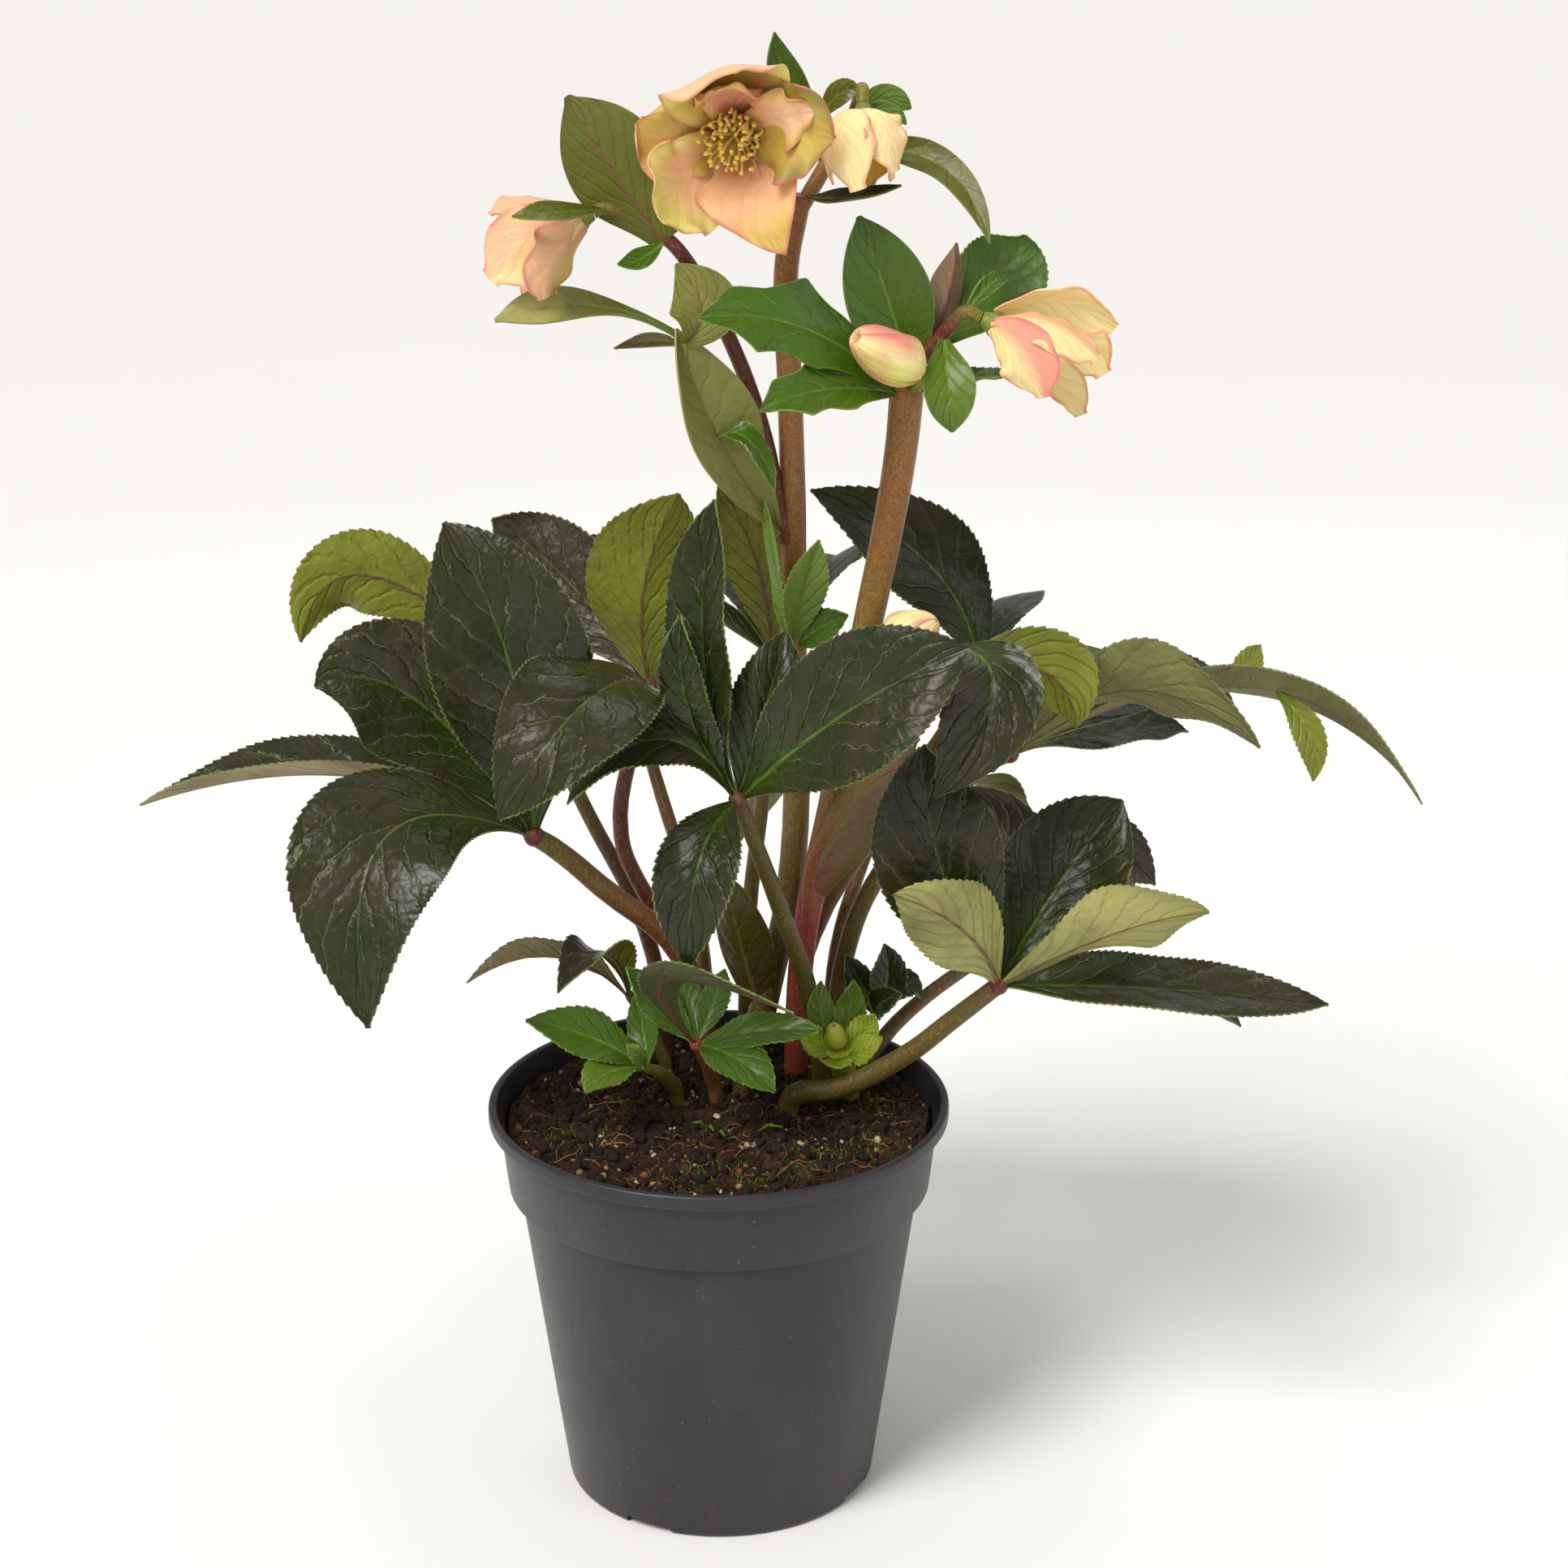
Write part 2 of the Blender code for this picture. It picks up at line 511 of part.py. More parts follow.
BLOOMS = (
    Bloom(
        "main", (6.4, 19.8, 382.4), (-0.12, -0.97, 0.1),
        (
            tepal((13, 3, 365.5), (19, -8, 356), 25, (-0.2, -0.8, 0.3), columns=5),
            tepal((-7, 3, 367.5), (-11, -9, 361), 22, (0.3, -0.8, 0.4), columns=5),
            tepal((-9, -3, 386), (-18, -7, 391), 25, (0.5, -0.8, 0), columns=5),
            tepal((4, -1, 401), (10, -17, 404), 30, (0, -0.7, -0.6), columns=5),
            tepal((20, -2, 386), (31, -6, 384), 26, (-0.5, -0.8, 0), columns=5),
            tepal((4, 3, 395.5), (0, -11, 397), 20, (0, -0.8, -0.5)),
            tepal((15, -2, 389), (24, -9, 391), 14, (-0.4, -0.8, -0.3)),
        ),
        17, 14.5, 26.0, 4.0,
    ),
    Bloom(
        "left", (-31.5, 11.2, 363.0), (-0.9, -0.18, -0.4),
        (
            tepal((-46, -4, 359), (-58, -3, 348), 20, (0.2, 0.9, -0.1)),
            tepal((-41, -1, 351), (-43, -5, 343), 14, (-0.3, 0.8, 0.4)),
            tepal((-48, 7, 367), (-58, 3, 364), 15, (-0.2, 0.2, -0.9)),
            tepal((-47, 18, 356), (-57, 14, 347), 17, (0.1, -0.9, -0.1)),
            tepal((-43, 12, 348), (-50, 8, 341), 15, (-0.2, -0.3, 0.8)),
        ),
        5, 9.0, 20.0,
    ),
    Bloom(
        "right", (70.0, 4.4, 336.6), (0.92, -0.03, -0.4),
        (
            tepal((79, -8, 330), (85, -9, 318), 17, (0.3, 0.9, 0.2)),
            tepal((88, -4, 336), (100, -6, 328), 17, (-0.3, 0.4, -0.7)),
            tepal((90, 9, 342), (107, 9, 335), 15, (-0.1, -0.5, -0.8)),
            tepal((88, 8, 321), (97, 6, 310), 14, (-0.1, -0.4, 0.8)),
            tepal((92, 16, 330), (104, 16, 319), 15, (-0.2, -0.9, 0.1)),
        ),
        5, 10.0, 22.0,
    ),
    Bloom(
        "opening", (39.0, 16, 390.5), (0.02, -0.6, -0.8),
        (
            tepal((32, 3, 385), (35, 0, 374), 15, (0.2, 0.9, 0.2)),
            tepal((43, 2, 386), (42, -1, 372), 15, (-0.2, 0.9, 0.2)),
            tepal((48, 12, 381), (46, 7, 372), 15, (-0.9, 0.1, 0.1)),
            tepal((39, 22, 380), (39, 16, 370), 16, (0, -0.95, 0.1)),
            tepal((29, 13, 384), (31, 8, 373), 15, (0.95, 0.1, 0.1)),
        ),
        5, 5.5, 14.0,
    ),
)

BUDS = (
    Bud("bud_pink", "bud", (54.4, 0.4, 322.8), (35, -9.5, 329.5), 7.2),
    Bud("bud_low", "bud", (45.6, 7.4, 246.0), (60, 4, 254), 7.2, 40.0),
    Bud("bud_green", "shoot", (33.9, 5.8, 128.4), (32.2, 2.4, 137), 3.0),
)


def clear_scene():
    """Remove whatever the scene holds."""
    for thing in list(bpy.data.objects):
        bpy.data.objects.remove(thing, do_unlink=True)


def new_collection(name):
    """A collection linked to the scene."""
    collection = bpy.data.collections.new(name)
    bpy.context.scene.collection.children.link(collection)
    return collection


def finish_material(name):
    """A Principled material with the colour and roughness of this finish."""
    material = bpy.data.materials.get(name)
    if material is None:
        colour, roughness = FINISHES[name]
        material = bpy.data.materials.new(name)
        material.use_nodes = True
        shader = material.node_tree.nodes["Principled BSDF"]
        shader.inputs["Base Color"].default_value = (*colour, 1.0)
        shader.inputs["Roughness"].default_value = roughness
        shader.inputs["Metallic"].default_value = 0.0
    return material


def finished(node, finish):
    """Give a node its material, and shade it smooth but for its sharp edges."""
    node.data.materials.clear()
    node.data.materials.append(finish_material(finish))
    node.data.shade_smooth()
    node.data.set_sharp_from_angle(angle=radians(SHARP_ANGLE))
    return node


def mesh_object(name, mesh, collection):
    """An object that shows this mesh."""
    thing = bpy.data.objects.new(name, mesh)
    collection.objects.link(thing)
    return thing


def applied(thing):
    """Replace an object's data by its evaluated mesh, with what its modifiers made of it."""
    graph = bpy.context.evaluated_depsgraph_get()
    mesh = bpy.data.meshes.new_from_object(thing.evaluated_get(graph))
    thing.modifiers.clear()
    thing.data = mesh
    return thing


def tube(points, radii, level, collection):
    """A round stalk along the points, closed at both ends, as a mesh."""
    curve = bpy.data.curves.new("tube", "CURVE")
    curve.dimensions = "3D"
    curve.bevel_depth = MM
    curve.bevel_resolution = level
    curve.use_fill_caps = True
    spline = curve.splines.new("POLY")
    spline.points.add(len(points) - 1)
    for place, point, radius in zip(spline.points, points, radii):
        place.co = (*(point * MM), 1.0)
        place.radius = radius
    line = bpy.data.objects.new("tube", curve)
    collection.objects.link(line)
    graph = bpy.context.evaluated_depsgraph_get()
    mesh = bpy.data.meshes.new_from_object(line.evaluated_get(graph))
    bpy.data.objects.remove(line, do_unlink=True)
    skin = bmesh.new()
    skin.from_mesh(mesh)
    bmesh.ops.remove_doubles(skin, verts=skin.verts, dist=MERGE)
    bmesh.ops.recalc_face_normals(skin, faces=skin.faces)
    bmesh.ops.triangulate(skin, faces=skin.faces)
    skin.to_mesh(mesh)
    skin.free()
    return mesh_object("tube", mesh, collection)


def stalk_object(stalk, root, root_radius, collection):
    """A stalk. One with a root starts straight down in its hole in the soil."""
    line = [Vector(point) for point in stalk.points]
    radii = list(np.linspace(stalk.start_radius, stalk.end_radius, len(line)))
    if stalk.knob:
        line.append(line[-1] + (line[-1] - line[-2]).normalized() * stalk.end_radius)
        radii.append(KNOB_TAPER * stalk.end_radius)
    if root is not None:
        foot = Vector((*root, SOIL_TOP - HOLE_DEPTH + GAP))
        collar = Vector((*root, SOIL_TOP + HOLE_RUN))
        line = [foot, collar, *line]
        radii = [root_radius, root_radius, *radii]
    return tube(line, radii, stalk.level, collection)


def blade_points(blade, base):
    """A function from across, -1 to 1, and along, 0 to 1, to the place on the blade's middle surface."""
    start = Vector(base)
    middle = Vector(blade.middle)
    tip = Vector(blade.tip)
    if blade.base is None:
        start += (middle - start).normalized() * NECK_OUT
    control = 2 * middle - 0.5 * (start + tip)
    heading = (tip - start).normalized()
    face = Vector(blade.face)
    normal = (face - face.dot(heading) * heading).normalized()
    half_width = 0.5 * blade.width

    def place(across, along):
        point = (1 - along) ** 2 * start + 2 * along * (1 - along) * control + along ** 2 * tip
        way = ((1 - along) * (control - start) + along * (tip - control)).normalized()
        up = heading.rotation_difference(way) @ normal
        side = way.cross(up)
        half = half_width * blade.outline.half(along)
        row = round(along * (blade.rows - 1))
        tooth = blade.outline.teeth * TOOTH * (1 if row % 2 else -1)
        if abs(across) > 0.9 and FIRST_TOOTH < along < LAST_TOOTH:
            half += tooth * min(1.0, half / 4.0)
        ripple = blade.wave * sin(2 * pi * (WAVES * along + WAVE_SKEW * across)) * blade.outline.half(along)
        lift = blade.fold * abs(across) ** FOLD_POWER * half + ripple * across * across
        return point + side * across * half + up * lift

    return place


def blade_object(blade, hub, collection):
    """A closed thin blade, split into triangles alike on both faces."""
    place = blade_points(blade, blade.base or hub)
    sheet = bmesh.new()
    bmesh.ops.create_grid(sheet, x_segments=blade.columns - 1, y_segments=blade.rows - 1, size=1.0)
    for vertex in sheet.verts:
        vertex.co = place(vertex.co.x, 0.5 * (vertex.co.y + 1.0)) * MM
    bmesh.ops.triangulate(sheet, faces=sheet.faces)
    bmesh.ops.recalc_face_normals(sheet, faces=sheet.faces)
    mesh = bpy.data.meshes.new("blade")
    sheet.to_mesh(mesh)
    sheet.free()
    thing = mesh_object("blade", mesh, collection)
    wall = thing.modifiers.new("thickness", "SOLIDIFY")
    wall.thickness = BLADE_THICKNESS * MM
    wall.offset = 0.0
    return applied(thing)


def fused(name, finish, pieces, parts, scrap):
    """One named node from the pieces, joined by one union on the collection that holds the rest."""
    body = pieces[0]
    body.name = name
    body.data.name = name
    scrap.objects.unlink(body)
    parts.objects.link(body)
    if len(pieces) > 1:
        union = body.modifiers.new("union", "BOOLEAN")
        union.operation = "UNION"
        union.operand_type = "COLLECTION"
        union.collection = scrap
        union.solver = "EXACT"
        applied(body)
        for piece in pieces[1:]:
            bpy.data.objects.remove(piece, do_unlink=True)
    return finished(body, finish)


def plant_node(plant, parts, scrap):
    """A plant's stalks and blades, fused."""
    pieces = []
    for index, stalk in enumerate(plant.stalks):
        root = plant.root if index == 0 else None
        pieces.append(stalk_object(stalk, root, plant.root_radius, scrap))
    pieces += [blade_object(blade, plant.hub, scrap) for blade in plant.blades]
    return fused(plant.name, plant.finish, pieces, parts, scrap)


def cone_between(start, end, start_radius, end_radius, sides, collection):
    """A closed cone from one point to another."""
    solid = bmesh.new()
    way = end - start
    turn = Vector((0, 0, 1)).rotation_difference(way).to_matrix().to_4x4()
    place = Matrix.Translation((start + end) * 0.5 * MM) @ turn
    bmesh.ops.create_cone(
        solid, cap_ends=True, cap_tris=True, segments=sides, radius1=start_radius * MM,
        radius2=end_radius * MM, depth=way.length * MM, matrix=place,
    )
    mesh = bpy.data.meshes.new("cone")
    solid.to_mesh(mesh)
    solid.free()
    return mesh_object("cone", mesh, collection)


def bloom_nodes(bloom, parts, scrap):
    """The tepals on their receptacle, and the stamens on their core, as two nodes."""
    axis = Vector(bloom.axis).normalized()
    seat = Vector(bloom.seat) + axis * GAP
    front = seat + axis * RECEPTACLE_LENGTH
    flare = bloom.ring + RECEPTACLE_FLARE
    pieces = [cone_between(seat, front, RECEPTACLE_START, flare, RECEPTACLE_SIDES, scrap)]
    for blade in bloom.tepals:
        outward = Vector(blade.middle) - front
        outward = (outward - outward.dot(axis) * axis).normalized()
        root = front - axis * TEPAL_SEAT + outward * bloom.ring * TEPAL_RING
        pieces.append(blade_object(blade, root, scrap))
    fused("bloom_" + bloom.name, "tepal", pieces, parts, scrap)
    core = front + axis * CORE_GAP
    end = core + axis * CORE_LENGTH
    pieces = [cone_between(core, end, bloom.ring * CORE_START, bloom.ring * CORE_END, CORE_SIDES, scrap)]
    across = axis.orthogonal().normalized()
    for index in range(bloom.stamens):
        share = (index + 0.5) / bloom.stamens
        turn = Quaternion(axis, index * GOLDEN_TURN) @ across
        lean = radians(bloom.stamen_spread) * share ** 0.5
        way = axis * cos(lean) + turn * sin(lean)
        start = core + axis * STAMEN_START + turn * bloom.ring * CORE_END * share ** 0.5
        length = bloom.stamen_length * (1.0 - STAMEN_SHORTER * (1.0 - cos(7.0 * index)))
        end = start + way * length
        pieces.append(cone_between(start, end, FILAMENT_RADIUS, ANTHER_RADIUS, STAMEN_SIDES, scrap))
    fused("stamens_" + bloom.name, "stamen", pieces, parts, scrap)


def bud_node(bud, parts):
    """A closed bud: an egg whose surface is raised where each outer tepal laps the next."""
    start = Vector(bud.base)
    way = Vector(bud.tip) - start
    solid = bmesh.new()
    bmesh.ops.create_uvsphere(solid, u_segments=BUD_SIDES, v_segments=BUD_RINGS, radius=1.0)
    half = 0.5 * way.length
    for vertex in solid.verts:
        place = vertex.co.normalized()
        share = 0.5 * (place.z + 1.0)
        turn = atan2(place.y, place.x) / (2 * pi) * BUD_TEPALS + 0.5 * share
        lap = 1.0 + BUD_LAP * (turn % 1.0) * min(1.0, 4.0 * share) * (1.0 - share)
        girth = bud.radius * (BUD_GIRTH - BUD_TAPER * share) * lap
        vertex.co = Vector((place.x * girth, place.y * girth, (place.z + 1.0) * half)) * MM
    turn = Vector((0, 0, 1)).rotation_difference(way) @ Quaternion((0, 0, 1), radians(bud.turn))
    solid.transform(Matrix.Translation(start * MM) @ turn.to_matrix().to_4x4())
    bmesh.ops.triangulate(solid, faces=solid.faces)
    mesh = bpy.data.meshes.new(bud.name)
    solid.to_mesh(mesh)
    solid.free()
    node = mesh_object(bud.name, mesh, parts)
    return finished(node, bud.finish)


def turned(name, profile, collection):
    """A solid turned round Z from a closed or axis-to-axis profile, outer side first, top to bottom."""
    mesh = bpy.data.meshes.new(name)
    line = bmesh.new()
    verts = [line.verts.new((radius * MM, 0, height * MM)) for radius, height in profile]
    for one, other in zip(verts, verts[1:]):
        line.edges.new((one, other))
    line.to_mesh(mesh)
    line.free()
    thing = mesh_object(name, mesh, collection)
    screw = thing.modifiers.new("turn", "SCREW")
    screw.steps = POT_STEPS
    screw.render_steps = POT_STEPS
    screw.use_merge_vertices = True
    screw.merge_threshold = MERGE
    return applied(thing)


def wall_radius(height):
    """The pot's outer radius below its collar at this height."""
    return BASE_RADIUS + (STEP_RADIUS - BASE_RADIUS) * height / STEP_HEIGHT


def cutter_object(name, solid, cutters):
    """A hidden cutter from a bmesh."""
    mesh = bpy.data.meshes.new(name)
    solid.to_mesh(mesh)
    solid.free()
    cutter = mesh_object(name, mesh, cutters)
    cutter.hide_render = True
    cutter.display_type = "WIRE"
    return cutter


def cut(body, cutters):
    """Cut every cutter of the collection out of the body."""
    boolean = body.modifiers.new("cut", "BOOLEAN")
    boolean.operation = "DIFFERENCE"
    boolean.operand_type = "COLLECTION"
    boolean.collection = cutters
    boolean.solver = "EXACT"
    applied(body)
    for cutter in list(cutters.objects):
        bpy.data.objects.remove(cutter, do_unlink=True)


def pot_node(parts, cutters):
    """The thin-walled nursery pot with its collar, rolled lip, drain channels and drain holes."""
    inner_floor = FLOOR_THICKNESS
    inner_corner = wall_radius(inner_floor) - WALL
    profile = (
        (0.0, POT_HEIGHT),
        (RIM_RADIUS - LIP_ROUND, POT_HEIGHT),
        (RIM_RADIUS, POT_HEIGHT - LIP_ROUND),
        (RIM_RADIUS, LIP_HEIGHT),
        (LIP_NECK_RADIUS, LIP_HEIGHT - LIP_DROP),
        (COLLAR_RADIUS, COLLAR_HEIGHT),
        (STEP_RADIUS, STEP_HEIGHT),
        (wall_radius(FOOT_ROUND), FOOT_ROUND),
        (BASE_RADIUS - FOOT_ROUND, 0.0),
        (0.0, 0.0),
    )
    pot = turned("pot", profile, parts)
    hollow = (
        (0.0, POT_HEIGHT + OPEN_ABOVE),
        (RIM_RADIUS - LIP_WALL, POT_HEIGHT + OPEN_ABOVE),
        (LIP_NECK_RADIUS - WALL, LIP_HEIGHT - LIP_DROP),
        (COLLAR_RADIUS - WALL, COLLAR_HEIGHT + 0.5 * WALL),
        (STEP_RADIUS - WALL, STEP_HEIGHT + 0.5 * WALL),
        (inner_corner, inner_floor),
        (0.0, inner_floor),
    )
    inside = turned("pot_inside", hollow, cutters)
    inside.hide_render = True
    inside.display_type = "WIRE"
    cut(pot, cutters)
    for index in range(CHANNELS):
        angle = radians(CHANNEL_ANGLE + index * 360.0 / CHANNELS)
        turn = Matrix.Rotation(angle, 4, "Z")
        channel = bmesh.new()
        length = BASE_RADIUS + CHANNEL_OUT - CHANNEL_START
        bmesh.ops.create_cube(channel, size=1.0)
        bmesh.ops.scale(channel, vec=Vector((length, CHANNEL_WIDTH, 2 * CHANNEL_DEPTH)) * MM,
                        verts=channel.verts)
        channel.transform(turn @ Matrix.Translation(Vector((CHANNEL_START + 0.5 * length, 0, 0)) * MM))
        cutter_object("channel", channel, cutters)
    cut(pot, cutters)
    for index in range(CHANNELS):
        angle = radians(CHANNEL_ANGLE + index * 360.0 / CHANNELS)
        drain = bmesh.new()
        bmesh.ops.create_cone(drain, cap_ends=True, segments=DRAIN_SIDES, radius1=DRAIN_RADIUS * MM,
                              radius2=DRAIN_RADIUS * MM, depth=4 * FLOOR_THICKNESS * MM)
        place = Vector((DRAIN_RING * cos(angle), DRAIN_RING * sin(angle), 0)) * MM
        drain.transform(Matrix.Translation(place))
        cutter_object("drain", drain, cutters)
    cut(pot, cutters)
    return finished(pot, "pot")


def soil_node(roots, parts, cutters):
    """The potting soil: it fills the pot to just under the lip, and each stem stands in a plain hole."""
    floor = FLOOR_THICKNESS + GAP
    corner = wall_radius(floor) - WALL - GAP
    profile = (
        (0.0, SOIL_TOP),
        (MOUND_RADIUS, SOIL_TOP - MOUND_DROP),
        (LIP_NECK_RADIUS - WALL - SHOULDER, SOIL_EDGE_HEIGHT),
        (COLLAR_RADIUS - WALL - GAP, COLLAR_HEIGHT + SHOULDER),
        (STEP_RADIUS - WALL - GAP, STEP_HEIGHT + SHOULDER),
        (corner, floor),
        (0.0, floor),
    )
    soil = turned("soil", profile, parts)
    for place, radius in roots:
        hole = bmesh.new()
        reach = (radius + GAP) / cos(pi / HOLE_SIDES)
        bmesh.ops.create_cone(hole, cap_ends=True, segments=HOLE_SIDES, radius1=reach * MM,
                              radius2=reach * MM, depth=2 * HOLE_DEPTH * MM)
        hole.transform(Matrix.Translation(Vector((*place, SOIL_TOP)) * MM))
        cutter_object("hole", hole, cutters)
    cut(soil, cutters)
    return finished(soil, "soil")


def main():
    """Build every piece of the potted plant."""
    clear_scene()
    parts = new_collection("hellebore")
    scrap = new_collection("to_be_joined")
    cutters = new_collection("cutters")
    plants = (STEM_CENTER, STEM_RIGHT, *LEAVES)
    pot_node(parts, cutters)
    soil_node([(plant.root, plant.root_radius) for plant in plants], parts, cutters)
    for plant in plants:
        plant_node(plant, parts, scrap)
    for bloom in BLOOMS:
        bloom_nodes(bloom, parts, scrap)
    for bud in BUDS:
        bud_node(bud, parts)


if __name__ == "__main__":
    main()
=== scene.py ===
"""The finished look of a potted hellebore: leaves, flowers, stems, soil and pot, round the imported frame.

Places in the tables are in millimetres, X to the right, Y away from the front and Z up, with the origin
at the middle of the pot's base. Meshes are made in metres.
"""

import logging
from dataclasses import dataclass
from enum import Enum
from math import cos, pi, radians, sin
from typing import Any, Callable, Iterable, Sequence

import bpy
import numpy as np
from mathutils import Matrix, Quaternion, Vector, noise


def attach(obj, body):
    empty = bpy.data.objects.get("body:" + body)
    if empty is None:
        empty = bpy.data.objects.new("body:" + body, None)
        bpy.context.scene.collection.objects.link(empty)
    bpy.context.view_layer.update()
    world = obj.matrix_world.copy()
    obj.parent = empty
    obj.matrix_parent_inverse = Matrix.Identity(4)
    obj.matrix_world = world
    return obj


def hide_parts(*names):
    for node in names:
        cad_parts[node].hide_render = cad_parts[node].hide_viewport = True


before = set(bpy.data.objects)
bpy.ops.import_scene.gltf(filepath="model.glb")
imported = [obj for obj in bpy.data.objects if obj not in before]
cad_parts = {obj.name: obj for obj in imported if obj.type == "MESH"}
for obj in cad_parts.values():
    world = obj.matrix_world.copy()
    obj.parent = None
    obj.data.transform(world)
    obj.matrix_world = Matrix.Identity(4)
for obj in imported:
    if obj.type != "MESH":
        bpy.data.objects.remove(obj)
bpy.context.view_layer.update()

LOG = logging.getLogger("hellebore")
Point = tuple[float, float, float]
Colour = tuple[float, float, float]
Profile = list[tuple[float, float]]
Rows = np.ndarray
Piece = bpy.types.Object
Material = bpy.types.Material
MM = 0.001
BODY = "root"
MERGE = 0.00001
EDGE_ANGLE = radians(48.0)
TOWARD_VIEW: Point = (0.0, -0.9, 0.42)
GOLDEN_TURN = pi * (3.0 - 5.0 ** 0.5)
ANTHER_SHAPE: Point = (0.85, 0.7, 1.45)
STRAND_LEAN: Point = (0.13, 0.21, 0.97)


def shade(red: float, green: float, blue: float) -> Colour:
    """The linear colour of a screen colour of 8 bits a channel."""
    return tuple(((c / 255.0 + 0.055) / 1.055) ** 2.4 if c > 10 else c / 3294.6 for c in (red, green, blue))


class Hue(Enum):
    """The plant's own colours, painted on its meshes, and one sage darkened as painted shade."""

    OLD = shade(36, 43, 9)
    OLD_DULL = shade(60, 54, 38)
    OLIVE = shade(118, 124, 34)
    OLIVE_DARK = shade(92, 96, 24)
    SAGE = shade(160, 158, 94)
    # Painted shade: the sage of a leaf's under side, darkened for two leaflets that lie darker.
    SAGE_IN_PAINTED_SHADE = shade(122, 120, 70)
    TAN = shade(152, 138, 98)
    TAUPE = shade(140, 116, 88)
    FRESH = shade(64, 96, 10)
    GRASS = shade(84, 110, 22)
    LIGHT = shade(116, 144, 60)
    DULL_GREEN = shade(132, 132, 62)
    LIME = shade(160, 178, 56)
    MOSS_STEM = shade(84, 80, 28)
    DUSK = shade(70, 74, 42)
    OCHRE = shade(152, 104, 54)
    OLIVE_STEM = shade(136, 112, 50)
    RUSSET = shade(122, 66, 42)
    MAROON = shade(92, 38, 38)
    ROSE_STEM = shade(156, 54, 52)
    BROWN = shade(104, 82, 54)
    CREAM = shade(250, 232, 166)
    PEACH = shade(240, 192, 148)
    ROSY = shade(232, 152, 132)
    GREEN_CREAM = shade(222, 218, 118)
    OLIVE_CREAM = shade(188, 166, 70)
    THROAT = shade(184, 140, 62)
    GOLD = shade(250, 218, 104)
    STRAW = shade(250, 238, 168)


class Tint(Enum):
    """The colours of markings, plastic and soil."""

    BRONZE = shade(70, 56, 44)
    LEAF_SHADOW = shade(20, 26, 12)
    STEM_CLOUD = shade(126, 124, 56)
    STEM_PALE = shade(196, 172, 96)
    STEM_SPECK = shade(104, 34, 28)
    BLUSH = shade(226, 146, 122)
    TEPAL_VEIN = shade(206, 150, 92)
    TEPAL_MARGIN = shade(204, 96, 106)
    TEPAL_SPECK = shade(178, 62, 60)
    POLLEN = shade(236, 176, 84)
    PLASTIC = shade(38, 37, 40)
    WORN_PLASTIC = shade(50, 48, 50)
    MOULD_STREAK = shade(64, 60, 62)
    SPLASH = shade(84, 66, 52)
    DUST = shade(150, 132, 118)
    WET_PEAT = shade(20, 13, 9)
    DRY_PEAT = shade(78, 50, 34)
    PEAT_FIBRE = shade(128, 92, 62)
    ALGAE = shade(82, 94, 26)
    PALE_GRIT = shade(172, 142, 100)
    GRIT_SHADOW = shade(18, 12, 8)
    CRUMB = shade(46, 31, 21)
    CLAY = shade(124, 74, 46)
    BARK = shade(170, 138, 96)
    PERLITE = shade(206, 192, 168)
    COIR = shade(168, 120, 72)
    ROOT = shade(92, 56, 38)
    MOSS = shade(112, 128, 38)
    SPROUT = shade(96, 140, 44)
    FLOOR = shade(238, 238, 238)
    BRIGHT_FLOOR = shade(242, 242, 242)


class Wire:
    """A number that a node gives, with arithmetic that adds Math nodes."""

    def __init__(self, bench: "Bench", socket: Any) -> None:
        """Hold the socket and the bench that it belongs to."""
        self.bench = bench
        self.socket = socket

    def _math(self, operation: str, *terms: Any) -> "Wire":
        """One Math node on these terms."""
        return self.bench.node("ShaderNodeMath", {"operation": operation}, dict(enumerate(terms)))

    def __add__(self, other: Any) -> "Wire":
        """The sum."""
        return self._math("ADD", self, other)

    __radd__ = __add__

    def __sub__(self, other: Any) -> "Wire":
        """The difference."""
        return self._math("SUBTRACT", self, other)

    def __rsub__(self, other: Any) -> "Wire":
        """The difference, the other way round."""
        return self._math("SUBTRACT", other, self)

    def __mul__(self, other: Any) -> "Wire":
        """The product."""
        return self._math("MULTIPLY", self, other)

    __rmul__ = __mul__

    def size(self) -> "Wire":
        """The value without its sign."""
        return self._math("ABSOLUTE", self)

    def triangle(self) -> "Wire":
        """The distance to the nearest whole number, 0 to 0.5."""
        return self._math("PINGPONG", self, 0.5)

    def most(self, other: Any) -> "Wire":
        """The larger of two values."""
        return self._math("MAXIMUM", self, other)

    def smooth(self, low: float, high: float) -> "Wire":
        """0 below low and 1 above high, with a smooth step between. It falls where low is the larger."""
        return self.bench.node(
            "ShaderNodeMapRange", {"interpolation_type": "SMOOTHSTEP", "clamp": True},
            {"Value": self, "From Min": low, "From Max": high, "To Min": 0.0, "To Max": 1.0},
        )


